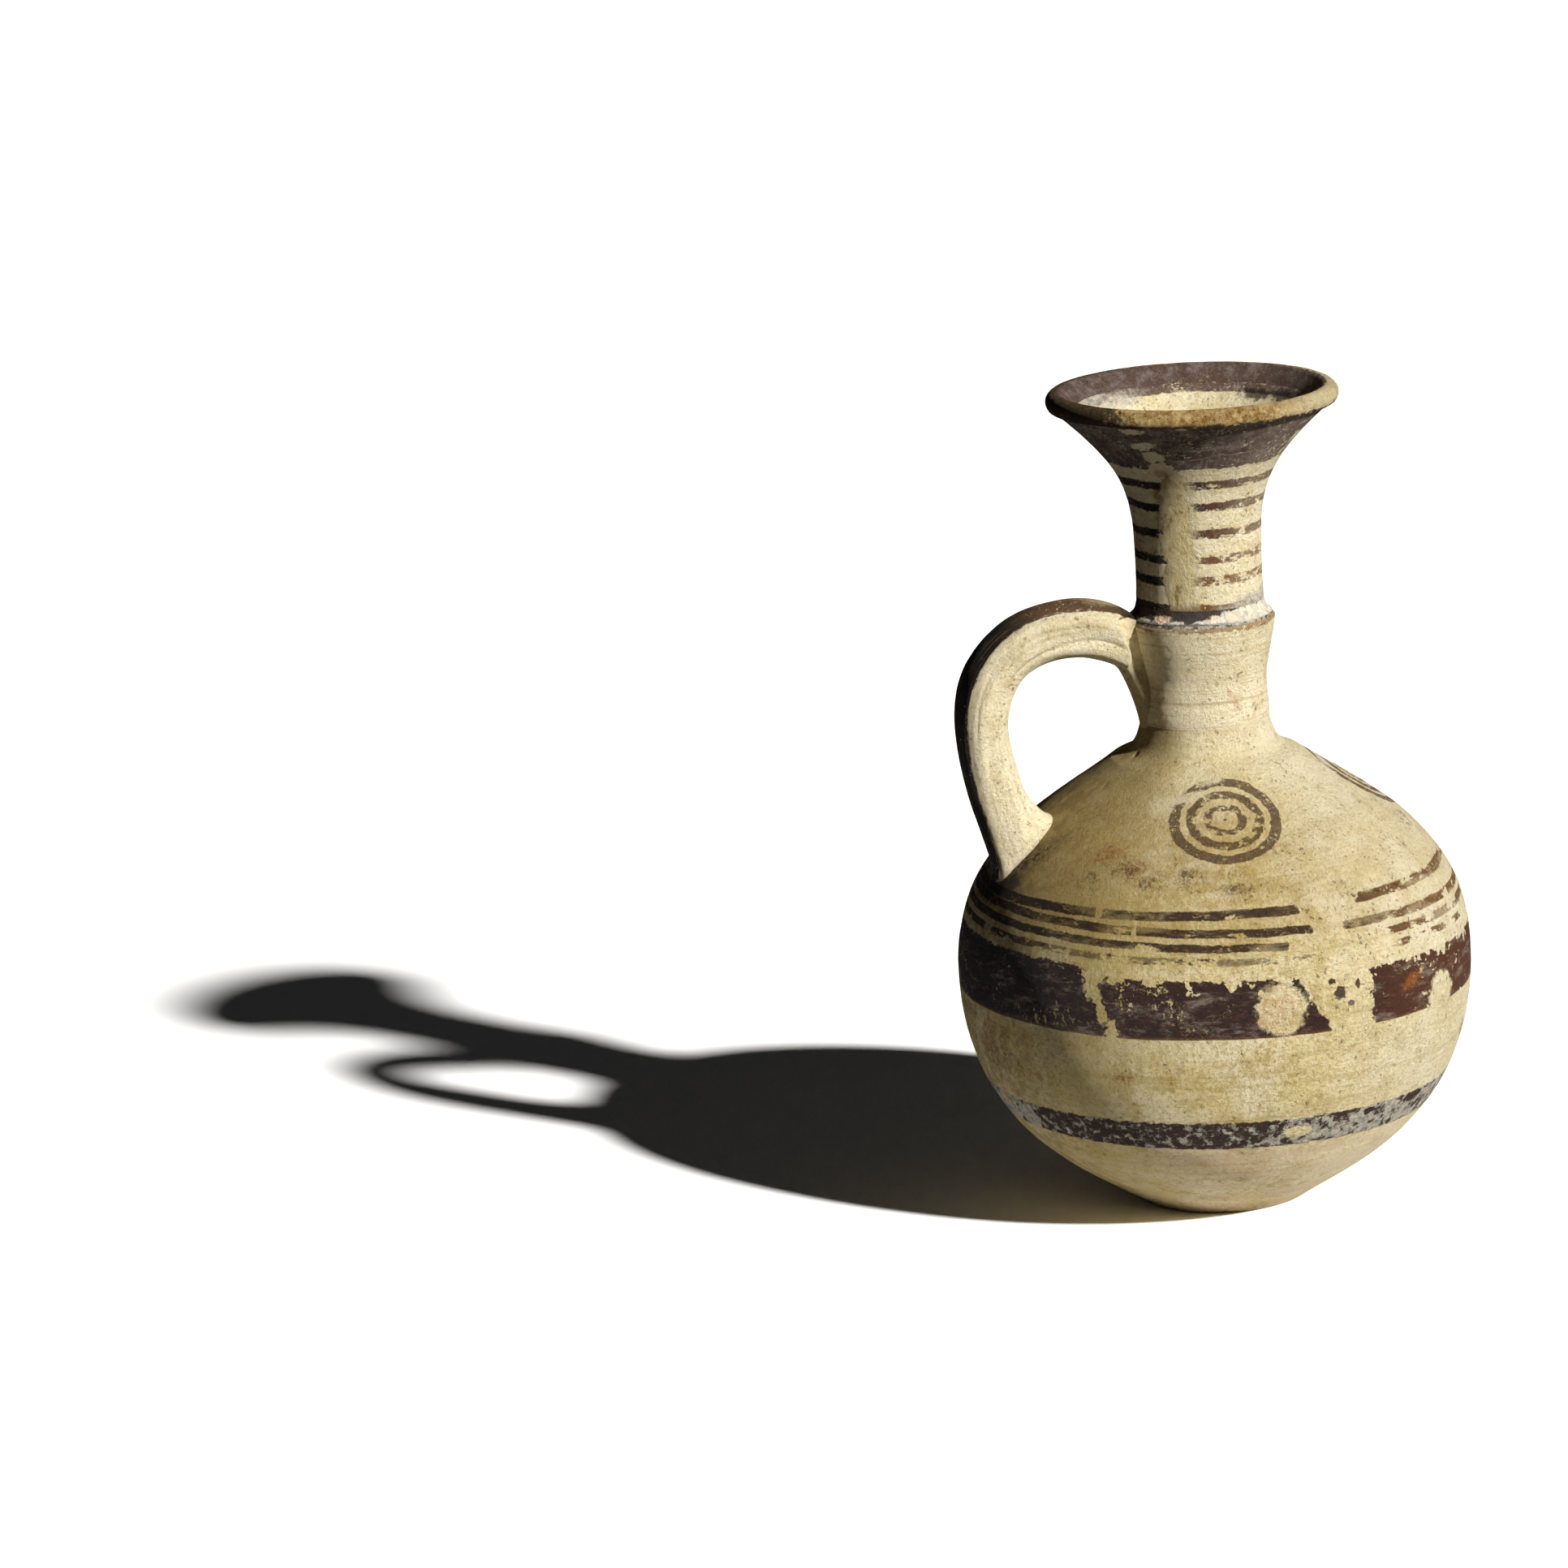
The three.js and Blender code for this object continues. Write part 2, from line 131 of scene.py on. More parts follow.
class Graph:
    """A node tree that is written as expressions."""

    def __init__(self, tree):
        self.tree = tree

    def node(self, kind, values=(), output=0, **settings):
        """A new node. Its values are numbers or wires, by the names or places of its inlets."""
        made = self.tree.nodes.new(kind)
        for name, value in settings.items():
            setattr(made, name, value)
        for key, value in dict(values).items():
            if isinstance(value, Wire):
                self.tree.links.new(value.socket, made.inputs[key])
            else:
                made.inputs[key].default_value = value
        return Wire(self, made.outputs[output]) if made.outputs else made

    def maths(self, operation, *values):
        return self.node("ShaderNodeMath", dict(enumerate(values)), operation=operation)

    def vector(self, operation, *values):
        return self.node("ShaderNodeVectorMath", dict(enumerate(values)), operation=operation)

    def join(self, x, y, z):
        return self.node("ShaderNodeCombineXYZ", {0: x, 1: y, 2: z})

    def split(self, vector):
        return [self.node("ShaderNodeSeparateXYZ", {0: vector}, output=i) for i in range(3)]

    def nearness(self, centre, reaches, turn=(0, 0, 0)):
        """1 at a place, and down to 0 at its reaches along three axes, which may be turned."""
        values = {"Vector": self.place, "Location": centre, "Rotation": turn, "Scale": reaches}
        local = self.node("ShaderNodeMapping", values, vector_type="TEXTURE")
        return self.node("ShaderNodeTexGradient", {"Vector": local}, output=1, gradient_type="SPHERICAL")

    def strongest(self, first, *masks):
        for mask in masks:
            first = self.maths("MAXIMUM", first, mask)
        return first

    def pattern(self, size, stretch, seed):
        """The place in the frame of a pattern, whose size is in millimetres."""
        scaled = self.vector("MULTIPLY", self.place, tuple(s / size for s in stretch))
        return self.vector("ADD", scaled, (seed * 7.3, seed * 3.1, seed * 5.7))

    def mottle(self, size, seed=0, stretch=(1, 1, 1), detail=4.0, rough=0.6):
        """A cloudy pattern of about 0 to 1, whose blots are about size millimetres."""
        place = self.pattern(size, stretch, seed)
        values = {"Vector": place, "Scale": 1.0, "Detail": detail, "Roughness": rough}
        return self.node("ShaderNodeTexNoise", values)

    def drift(self, amount, *pattern, **more):
        """A mottle about 0, which strays by up to half an amount."""
        return (self.mottle(*pattern, **more) - 0.5) * amount

    def grains(self, size, seed=0, output="Distance"):
        """The distance from the nearest grain of a scatter, in spacings, or the grain's own lot."""
        values = {"Vector": self.pattern(size, (1, 1, 1), seed), "Scale": 1.0}
        return self.node("ShaderNodeTexVoronoi", values, output)


class Shaping(Graph):
    """A geometry tree with one input for the shape and others for its sizes."""

    def __init__(self, name, sizes):
        super().__init__(bpy.data.node_groups.new(name, "GeometryNodeTree"))
        face = self.tree.interface
        face.new_socket("Geometry", in_out="INPUT", socket_type="NodeSocketGeometry")
        for label, kind in sizes.items():
            face.new_socket(label, in_out="INPUT", socket_type=kind)
        face.new_socket("Geometry", in_out="OUTPUT", socket_type="NodeSocketGeometry")
        self.inlet = self.tree.nodes.new("NodeGroupInput")

    def given(self, label):
        return Wire(self, self.inlet.outputs[label])

    def attribute(self, name, kind="FLOAT"):
        values = {"Name": name}
        return self.node("GeometryNodeInputNamedAttribute", values, data_type=kind)

    def keep(self, geometry, name, value, kind="FLOAT"):
        values = {"Geometry": geometry, "Name": name, "Value": value}
        return self.node("GeometryNodeStoreNamedAttribute", values, data_type=kind)

    def close(self, geometry):
        """Smooths all but the crisp edges, sets the finish and ends the tree."""
        angle = self.node("GeometryNodeInputMeshEdgeAngle")
        crisp = self.maths("GREATER_THAN", angle, CRISP_ANGLE)
        smooth = self.node("GeometryNodeSetShadeSmooth", {"Geometry": geometry})
        values = {"Geometry": smooth, "Selection": crisp, "Shade Smooth": False}
        edged = self.node("GeometryNodeSetShadeSmooth", values, domain="EDGE")
        real = self.node("GeometryNodeRealizeInstances", {"Geometry": edged})
        values = {"Geometry": real, "Material": self.given("Finish")}
        done = self.node("GeometryNodeSetMaterial", values)
        outlet = self.tree.nodes.new("NodeGroupOutput")
        self.tree.links.new(done.socket, outlet.inputs[0])
        return self.tree


CRISP_ANGLE = np.radians(48)


def relieve(graph, geometry):
    """Moves a skin along its own lay: soft dents, the wheel's comb marks and pits."""
    graph.place = graph.vector("SCALE", graph.node("GeometryNodeInputPosition"))
    graph.place.socket.node.inputs["Scale"].default_value = METRE
    dents = graph.mottle(30, detail=2) - 0.5
    combs = graph.mottle(2.2, 2, (0.04, 0.04, 1), 2) - 0.5
    grit = graph.mottle(2.4, 3, detail=3) - 0.5
    near_pit = graph.grains(9, 1).ramp(0.05, 0.16, 1.0, 0.0)
    lots = graph.split(graph.grains(9, 1, "Color"))
    pits = near_pit * lots[0].ramp(0.55, 0.9)
    rise = dents * graph.given("Dents") + combs * graph.given("Combs") + grit * graph.given("Grit")
    rise = rise - pits * graph.given("Pits")
    rise = (rise - graph.given("Sink")) * graph.attribute("skin") * MM
    offset = graph.vector("SCALE", graph.attribute("lay", "FLOAT_VECTOR"))
    graph.tree.links.new(rise.socket, offset.socket.node.inputs["Scale"])
    return graph.node("GeometryNodeSetPosition", {"Geometry": geometry, "Offset": offset})


RELIEF = ("Dents", "Combs", "Grit", "Pits", "Sink")
RELIEF_SIZES = {**{name: "NodeSocketFloat" for name in RELIEF}, "Finish": "NodeSocketMaterial"}


def relief(*depths):
    """How deep dents, combs, grit and pits are, and how far a skin sinks, all in millimetres."""
    return dict(zip(RELIEF, depths))


def thrown_tree():
    """Turns an outline about the axis of the wheel, and gives it the relief of fired clay."""
    sizes = {"Sides": "NodeSocketInt", "Rows": "NodeSocketInt", **RELIEF_SIZES}
    graph = Shaping("thrown member", sizes)
    outline = graph.given("Geometry")
    sides, rows = graph.given("Sides"), graph.given("Rows")
    sheet = graph.node("GeometryNodeMeshGrid", {"Vertices X": sides + 1, "Vertices Y": rows})
    index = graph.node("GeometryNodeInputIndex")
    column = graph.maths("FLOOR", index / rows)
    count = graph.node("GeometryNodeAttributeDomainSize", {"Geometry": outline})
    row = index - column * rows
    row = graph.maths("FLOORED_MODULO", row, count)
    turn = column / sides * (2 * np.pi)
    across, along = graph.maths("COSINE", turn), graph.maths("SINE", turn)

    def picked(value, kind):
        values = {"Geometry": outline, "Value": value, "Index": row}
        return graph.node("GeometryNodeSampleIndex", values, data_type=kind)

    def turned(vector):
        out, _, up = graph.split(picked(vector, "FLOAT_VECTOR"))
        return graph.join(out * across, out * along, up)

    lay = turned(graph.attribute("lay", "FLOAT_VECTOR"))
    shape = graph.keep(sheet, "lay", lay, "FLOAT_VECTOR")
    for name in ("skin", "inward"):
        shape = graph.keep(shape, name, picked(graph.attribute(name), "FLOAT"))
    place = turned(graph.node("GeometryNodeInputPosition"))
    shape = graph.node("GeometryNodeSetPosition", {"Geometry": shape, "Position": place})
    shape = graph.node("GeometryNodeMergeByDistance", {"Geometry": shape, "Distance": 1e-6})
    return graph.close(relieve(graph, shape))


THROWN = thrown_tree()


def shaped(piece, tree, sizes):
    """Runs a geometry tree on an object and leaves a plain mesh in its place."""
    modifier = piece.modifiers.new("shape", "NODES")
    modifier.node_group = tree
    for item in tree.interface.items_tree:
        if item.in_out == "INPUT" and item.name in sizes:
            modifier[item.identifier] = sizes[item.name]
    seen = piece.evaluated_get(bpy.context.evaluated_depsgraph_get())
    mesh = bpy.data.meshes.new_from_object(seen)
    piece.modifiers.remove(modifier)
    piece.data = mesh
    mesh.materials.clear()
    mesh.materials.append(sizes["Finish"])
    mesh.polygons.foreach_set("material_index", np.zeros(len(mesh.polygons), dtype=np.int32))
    lowest, highest = [np.array(corner) for corner in cad_box]
    points = read(mesh.vertices, "co")
    mesh.vertices.foreach_set("co", np.clip(points, lowest, highest).ravel())
    mesh.update()


def read(items, name, width=3):
    values = np.empty(len(items) * width, dtype=np.float32)
    items.foreach_get(name, values)
    return values.reshape(-1, width).astype(float)


def mesh_object(name, points, faces=()):
    mesh = bpy.data.meshes.new(name)
    mesh.from_pydata([tuple(point) for point in points], [], [tuple(face) for face in faces])
    piece = bpy.data.objects.new(name, mesh)
    bpy.context.scene.collection.objects.link(piece)
    return piece


def keep(mesh, **attributes):
    """Keeps a number or a vector for each point of a mesh, under the name of each attribute."""
    for name, values in attributes.items():
        kind, field = ("FLOAT_VECTOR", "vector") if np.ndim(values) > 1 else ("FLOAT", "value")
        mesh.attributes.new(name, kind, "POINT").data.foreach_set(field, np.ravel(values))


def lengths_along(points):
    return np.append(0, np.cumsum(np.linalg.norm(np.diff(points, axis=0), axis=1)))


def spaced(points, step):
    """The same line, with its points a step apart."""
    lengths = lengths_along(points)
    places = np.linspace(0, lengths[-1], max(2, round(lengths[-1] / step) + 1))
    return np.stack([np.interp(places, lengths, points[:, i]) for i in range(points.shape[1])], axis=1)


def bezier(t, start, near, far, end):
    return (1 - t) ** 3 * start + 3 * (1 - t) ** 2 * t * near + 3 * (1 - t) * t**2 * far + t**3 * end


def bend(start, end, shares, step=FINE_STEP):
    """A smooth line whose two handles are shares of the box between its ends."""
    start, end = np.array(start, float), np.array(end, float)
    near, far = [start + np.array(share) * (end - start) for share in shares]
    t = np.linspace(0, 1, BEND_POINTS)[:, None]
    return spaced(bezier(t, start, near, far, end), step)


def outward(points):
    """The direction square to a rising line, away from the axis."""
    along = np.gradient(points, axis=0)
    along /= np.linalg.norm(along, axis=1)[:, None]
    return np.stack([along[:, 1], -along[:, 0]], axis=1)


def line(*corners, step=HIDDEN_STEP):
    return spaced(np.array(corners, float), step)


def hand_in(piece, node):
    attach(piece, "root")
    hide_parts(node)


def thrown(node, runs, sides, sizes, finish, ring=True):
    """A thrown member from the runs of its outline, each with its lay, or none where it is hidden."""
    points = np.vstack([run[0] for run in runs])
    lays = np.vstack([np.zeros_like(run[0]) if run[1] is None else run[1] for run in runs])
    skins = np.concatenate([np.full(len(run[0]), float(run[1] is not None)) for run in runs])
    flat = np.zeros(len(points))
    piece = mesh_object(node + "_looks", np.stack([points[:, 0], flat, points[:, 1]], axis=1) * MM)
    keep(piece.data, lay=np.stack([lays[:, 0], flat, lays[:, 1]], axis=1), skin=skins, inward=-lays[:, 0])
    rows = len(points) + int(ring)
    shaped(piece, THROWN, {"Sides": sides, "Rows": rows, "Finish": finish, **sizes})
    hand_in(piece, node)


# Heights at which the members meet, and the widest line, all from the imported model
seam_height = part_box("shoulder_dome")[0].z * METRE
neck_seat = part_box("neck_root_coil")[0].z * METRE
coil_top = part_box("neck_root_coil")[1].z * METRE
ridge_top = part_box("ridge_slip_bead")[0].z * METRE
lip_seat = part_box("rolled_lip")[0].z * METRE
lip_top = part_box("rolled_lip")[1].z * METRE
belly_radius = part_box("body_bowl")[1].x * METRE

BASE_RADIUS = 24
FOOT_RING_WIDTH = 8
BASE_HOLLOW = 1.2
FLOOR_THICKNESS = 6.5
BODY_WALL = 5
BOWL_SHARES = [[0.35, 0.169], [1, 0.345]]
DOME_SHARES = [[0, 0.579], [0.589, 0.762]]
DOME_TOP_RADIUS = 26.6
NECK_BORE_RADIUS = 12.8
BODY_SIDES = 576

bowl_skin = bend((BASE_RADIUS, 0), (belly_radius, seam_height), BOWL_SHARES)
dome_skin = bend((belly_radius, seam_height), (DOME_TOP_RADIUS, neck_seat), DOME_SHARES)
COIL_SHARES = [[0.667, 0.22], [0.762, 0.3]]
NECK_ROOT_RADIUS = 18.2
NECK_WAIST_RADIUS = 17.8
NECK_WAIST_RISE = 11
NECK_WAIST_SHARES = [[0, 0.5], [1, 0.5]]
RIDGE_RADIUS = 20.75
RIDGE_BEVEL_HEIGHT = 1.5
RIDGE_BEVEL_WIDTH = 0.95
RIDGE_SHARES = [[0, 0.23], [0.644, 0.514]]
coil_skin = bend((DOME_TOP_RADIUS, neck_seat), (NECK_ROOT_RADIUS, coil_top), COIL_SHARES, 0.5)
neck_waist = (NECK_WAIST_RADIUS, coil_top + NECK_WAIST_RISE)
ridge_edge = (RIDGE_RADIUS, ridge_top - RIDGE_BEVEL_HEIGHT)
ridge_crown = (RIDGE_RADIUS - RIDGE_BEVEL_WIDTH, ridge_top)
neck_skin = np.vstack([
    bend((NECK_ROOT_RADIUS, coil_top), neck_waist, NECK_WAIST_SHARES, 0.5),
    bend(neck_waist, ridge_edge, RIDGE_SHARES, 0.5)[1:],
    line(ridge_edge, ridge_crown, step=0.4)[1:],
])
TRUMPET_FOOT_RADIUS = 17.82
TRUMPET_WAIST_RADIUS = 17.64
TRUMPET_WAIST_RISE = 13
TRUMPET_FOOT_SHARES = [[0, 0.5], [1, 0.5]]
TRUMPET_SHARES = [[0, 0.42], [0, 0.605]]
TRUMPET_RIM_WALL = 4.2
LIP_RADIUS = 40.85
LIP_CREASE = 1.95
trumpet_waist = (TRUMPET_WAIST_RADIUS, ridge_top + TRUMPET_WAIST_RISE)
lip_seat_radius = LIP_RADIUS - LIP_CREASE
trumpet_skin = np.vstack([
    bend((TRUMPET_FOOT_RADIUS, ridge_top), trumpet_waist, TRUMPET_FOOT_SHARES, 0.6),
    bend(trumpet_waist, (lip_seat_radius, lip_seat), TRUMPET_SHARES, 0.6)[1:],
])
skins = [bowl_skin, dome_skin, coil_skin, neck_skin]
whole_skin = np.vstack([skins[0], *[skin[1:] for skin in skins[1:]]])
whole_lay = outward(whole_skin)
starts = np.cumsum([0] + [len(skin) - 1 for skin in skins])
bowl_lay, dome_lay, coil_lay, neck_lay = [
    whole_lay[start:start + len(skin)] for start, skin in zip(starts, skins)
]


def tint(red, green, blue):
    """A colour from its three parts out of 255, as an eye reads them off a print."""
    parts = np.array([red, green, blue]) / 255
    linear = np.where(parts <= 0.04045, parts / 12.92, ((parts + 0.055) / 1.055) ** 2.4)
    return (*linear, 1.0)


jug_line = np.vstack([whole_skin, (TRUMPET_FOOT_RADIUS, ridge_top + 0.1), trumpet_skin[2:]])
jug_lay = outward(jug_line)


def spot_frame(azimuth, height, twist=0, radius=None):
    """A place on the jug's skin in millimetres, and the directions round, up and out of it there."""
    turn = np.radians(azimuth)
    outer, out, up = [np.interp(height, jug_line[:, 1], row) for row in (jug_line[:, 0], *jug_lay.T)]
    radius = outer if radius is None else radius
    round_way = Vector((np.cos(turn), np.sin(turn), 0))
    out_way = Vector((out * np.sin(turn), -out * np.cos(turn), up)).normalized()
    frame = Matrix((round_way, out_way.cross(round_way), out_way)).transposed()
    place = Vector((radius * np.sin(turn), -radius * np.cos(turn), height))
    return place, frame @ Matrix.Rotation(np.radians(twist), 3, "Z")


OVAL_DEPTH = 8  # reach of a listed mark into and out of the skin
SPECK = (92, 70, 42)
SLIP_WHITE = (246, 236, 208)
SLIP_PALE = (250, 237, 200)
SLIP_CREAM = (236, 215, 154)
SLIP_BUFF = (190, 162, 92)
SLIP_TAN = (166, 136, 82)
UMBER = (58, 39, 34)
SOOT = (30, 23, 22)
GOLDEN = (158, 116, 64)
RUST = (142, 80, 26)
OCHRE = (190, 142, 74)
HAZE = (168, 154, 138)
LIME = (210, 200, 180)
LIME_GREY = (158, 157, 150)


class Finish(Graph):
    """The material of one finish. Its patterns lie in the jug's own frame, in millimetres."""

    def __init__(self, name):
        self.material = bpy.data.materials.new(name)
        self.material.use_nodes = True
        super().__init__(self.material.node_tree)
        self.tree.nodes.clear()
        self.place = self.node("ShaderNodeTexCoord", output="Object")
        self.x, self.y, self.z = [part * METRE for part in self.split(self.place)]
        self.azimuth = self.maths("ARCTAN2", self.x, self.y * -1) * (180 / np.pi)
        self.rightward = self.x * np.cos(np.radians(15)) - self.y * np.sin(np.radians(15))

    def leftward(self, first, last, low=0, high=1):
        """Runs from low to high as the azimuth falls from first to last, and back to low behind the jug."""
        there = self.azimuth.span(first, last, -178, -145)
        return there.ramp(0, 1, low, high)

    def cover(self, mask, under, over):
        """One colour over another as far as a mask goes. Each is a wire, or its parts out of 255."""
        under, over = [tint(*tone) if isinstance(tone, tuple) else tone for tone in (under, over)]
        return self.node("ShaderNodeMix", {0: mask, 6: under, 7: over}, output=2, data_type="RGBA")

    def wash(self, mask, tone):
        """Lays a tone over the finish as far as a mask goes."""
        self.colour = self.cover(mask, self.colour, tone)

    def through(self, value, stops, most):
        """A number that runs through its stops as a value rises."""
        made = self.node("ShaderNodeValToRGB", {"Fac": value})
        ramp = made.socket.node.color_ramp
        for place, _ in stops[1:-1]:
            ramp.elements.new(place)
        for element, (place, number) in zip(ramp.elements, stops):
            element.position, element.color = place, (number / most, number / most, number / most, 1)
        return self.split(made)[0] * most

    def pattern(self, size, stretch, seed):
        scale = tuple(s * METRE / size for s in stretch)
        values = {"Vector": self.place, "Location": (seed * 7.3, seed * 3.1, seed * 5.7), "Scale": scale}
        return self.node("ShaderNodeMapping", values)

    def kept(self, wear, size, seed=0, stretch=(1, 1, 1), crisp=0.025):
        """What is left of a film that has flaked: all of it at a wear of 0, and nothing at 1."""
        level = self.mottle(size, seed, stretch, 7, 0.7) - (wear * 0.5 + 0.24)
        return level.ramp(-crisp, crisp)

    def oval(self, azimuth, height, across, tall, twist=0, radius=None):
        """How near a place on the skin is: 1 in the middle of an oval, a half at its rim, 0 far off."""
        place, frame = spot_frame(azimuth, height, twist, radius)
        reaches = [2 * half * MM for half in (across, tall, OVAL_DEPTH)]
        return self.nearness(place * MM, reaches, frame.to_euler())

    def patches(self, ovals, ragged=0.5, size=3.0, seed=0, soft=0.1):
        """A mask of listed patches with ragged edges."""
        reach = self.strongest(*[self.oval(*oval) for oval in ovals])
        reach = reach + self.drift(ragged * 1.25, size, seed, detail=6, rough=0.7)
        return reach.ramp(0.5 - soft / 2, 0.5 + soft / 2)

    def ring(self, low, high, tilt=0.0, sway=1.0, seed=0, soft=0.18):
        """A brushed ring between two heights, which leans to the photo's right by a tilt."""
        wobble = self.drift(sway * 2.4, 9, seed, detail=2)
        wobble = wobble + self.drift(sway * 2.6, 1.2, seed + 1, detail=8, rough=0.75)
        level = self.z + self.rightward * tilt + wobble
        return level.span(low - soft, low + soft, high + soft, high - soft)

    def between(self, first, last, soft=0.6, ragged=2.5, seed=0):
        """A stretch between two azimuths with ragged ends."""
        turn = self.azimuth + self.drift(ragged * 2, 2.2, seed)
        return turn.span(first - soft, first + soft, last + soft, last - soft)

    def slip(self, pale, middle, dark, streaks=1.0):
        """Fired slip: cloudy, streaked by the wheel, stained, specked and pitted."""
        cloud = self.mottle(24, 1)
        self.colour = self.cover(cloud.ramp(0.36, 0.64), middle, pale)
        streak = self.mottle(2.6, 4, (0.035, 0.035, 1))
        thread = self.mottle(0.8, 5, (0.03, 0.03, 1), detail=2)
        self.wash(streak.ramp(0.5, 0.7) * (0.5 * streaks), pale)
        self.wash(streak.ramp(0.5, 0.3) * (0.5 * streaks), dark)
        self.wash(thread.ramp(0.55, 0.75) * (0.3 * streaks), dark)
        grain = self.mottle(1.3, 6, detail=6, rough=0.8)
        self.wash(grain.ramp(0.5, 0.6) * 0.65, dark)
        self.wash(grain.ramp(0.47, 0.38) * 0.6, pale)
        dirt = self.mottle(8, 8, detail=9, rough=0.76)
        self.wash(dirt.ramp(0.48, 0.62) * 0.65, dark)
        fleck = self.mottle(1.3, 7, detail=5, rough=0.7) + (dirt - 0.5) * 0.4
        self.wash(fleck.ramp(0.63, 0.69) * 0.8, SPECK)
        self.wash(fleck.ramp(0.34, 0.28) * 0.7, SLIP_WHITE)
        ochre = self.mottle(2.3, 9, detail=6, rough=0.75) + (cloud - 0.5) * 0.3
        self.wash(ochre.ramp(0.63, 0.72) * 0.55, OCHRE)
        height = grain * 1.1 + streak * (0.12 * streaks) + thread * (0.06 * streaks)
        height = height - fleck.ramp(0.6, 0.72) * 0.5 + fleck.ramp(0.38, 0.28) * 0.5
        self.height = height + dirt * 1.2

    def lay_paint(self, mask, body, thin, film=0.07, flaked=0.36):
        """Paint over the finish: thin where the brush ran dry, and flecked."""
        flake = self.mottle(0.8, 12, (0.6, 0.6, 1), 8, 0.8) + self.drift(0.4, 7, 13, detail=3)
        mask = mask * flake.ramp(flaked - 0.03, flaked + 0.01, 0.1, 1)
        dry = self.mottle(1.1, 11, (0.3, 0.3, 1), 6, 0.7)
        self.wash(mask, self.cover(dry.ramp(0.5, 0.7) * 0.6, body, thin))
        self.height += mask * film

    def lime(self, seed=0):
        """The colour of a lime crust, grey where it is thin, and its own relief."""
        clot = self.mottle(1.9, seed + 1, detail=6, rough=0.72)
        tone = self.cover(clot.ramp(0.38, 0.58), LIME_GREY, LIME)
        cell = self.grains(1.7, seed + 2)
        tone = self.cover(cell.span(0.2, 0.3, 0.46, 0.36) * 0.5, tone, SLIP_WHITE)
        return tone, clot * 0.5 + 0.05

    def attribute(self, name, output=2):
        return self.node("ShaderNodeAttribute", output=output, attribute_name=name)

    def finish(self, roughness):
        """Ends the material with its roughness, its colour and its relief in millimetres."""
        bump = self.node("ShaderNodeBump", {"Strength": 1.0, "Distance": MM, "Height": self.height})
        values = {"Base Color": self.colour, "Roughness": roughness, "Normal": bump}
        shader = self.node("ShaderNodeBsdfPrincipled", values)
        shader.socket.node.inputs["Specular IOR Level"].default_value = 0.22
        self.node("ShaderNodeOutputMaterial", {"Surface": shader})
        return self.material


# Shoulder rings: top, height, lean, azimuth of the end on the left, of the start on the right, wear
SHOULDER_RINGS = [
    (97.9, 2.3, 0.0, 6.0, 22.8, 0.3),
    (93.4, 2.2, 0.034, 8.0, 16.8, 0.32),
    (89.7, 2.1, 0.036, 2.0, 28.4, 0.36),
    (86.0, 1.9, 0.036, 7.2, 31.0, 0.52),
]
# Marks are listed as ovals: azimuth, height, half width, half height, twist, radius if inside the mouth
BELLY_CHANNEL = [
    (-43, 81, 3.4, 2.6), (-43, 77, 2.3, 3.6, 14), (-41, 71.5, 1.6, 4, 12), (-38.5, 65.5, 1.9, 3.6),
]
BELLY_BARE = [
    (-0.8, 71.3, 7.0, 7.4), (44.4, 65.4, 6.6, 6.0), (96, 78, 9, 5), (131, 66, 6, 4), (-141, 76, 8, 6),
    (172, 70, 3, 6),
]
BELLY_CRUMBS = [(13, 73.6, 1.7, 2.0), (11.2, 77.0, 1.1, 0.8), (15.5, 70.2, 1.0, 0.8), (17.6, 75.2, 0.8, 1.2)]
# Circles of the shoulder: where their centres are, and the inner and outer radius of each line
MOTIF_AZIMUTHS = [-8.8, 90, 188.4]
MOTIF_HEIGHT = 118
MOTIF_RINGS = [(12.7, 15.7), (8.1, 10.9), (3.6, 6.0), (-1, 0.45)]

clay = Finish("cream slip with painted bands")
clay.slip(SLIP_PALE, SLIP_CREAM, SLIP_BUFF)
low_streak = clay.mottle(3.2, 14, (0.05, 0.05, 1))
clay.wash(clay.z.ramp(31, 25) * low_streak.ramp(0.35, 0.6) * 0.6, (232, 204, 172))
clay.wash(clay.z.ramp(6, 0.5) * 0.5, SLIP_TAN)
# Painted light and shade on the slip: paler toward the top of the shoulder and on the right, where the light
# falls, and darker toward the shaded left.
clay.wash(clay.z.ramp(108, 124) * 0.35, SLIP_PALE)
clay.wash(clay.leftward(-10, -55) * 0.5, (192, 168, 98))
clay.wash(clay.leftward(-22, -58) * clay.z.ramp(88, 98) * 0.5, (122, 104, 54))
clay.wash(clay.azimuth.span(-5, 40, 160, 110) * 0.4, (248, 238, 210))

# Grime on the shoulder, made stronger toward the left, where it is also painted shade.
grime_and_shade = clay.z.span(82, 94, 132, 114) * clay.leftward(50, -20, 0.35, 1)
grime_and_shade = grime_and_shade * clay.mottle(9, 16, detail=9, rough=0.8).ramp(0.3, 0.7, 0.2, 1)
clay.wash(grime_and_shade * 0.8, (180, 152, 90))
# Dark mottles down the left side: soil, with painted shade on the side away from the light.
soil_and_shade = clay.leftward(-30, -80) * clay.mottle(5, 17, detail=9, rough=0.76).ramp(0.44, 0.6)
clay.wash(soil_and_shade * 0.6, (140, 112, 66))

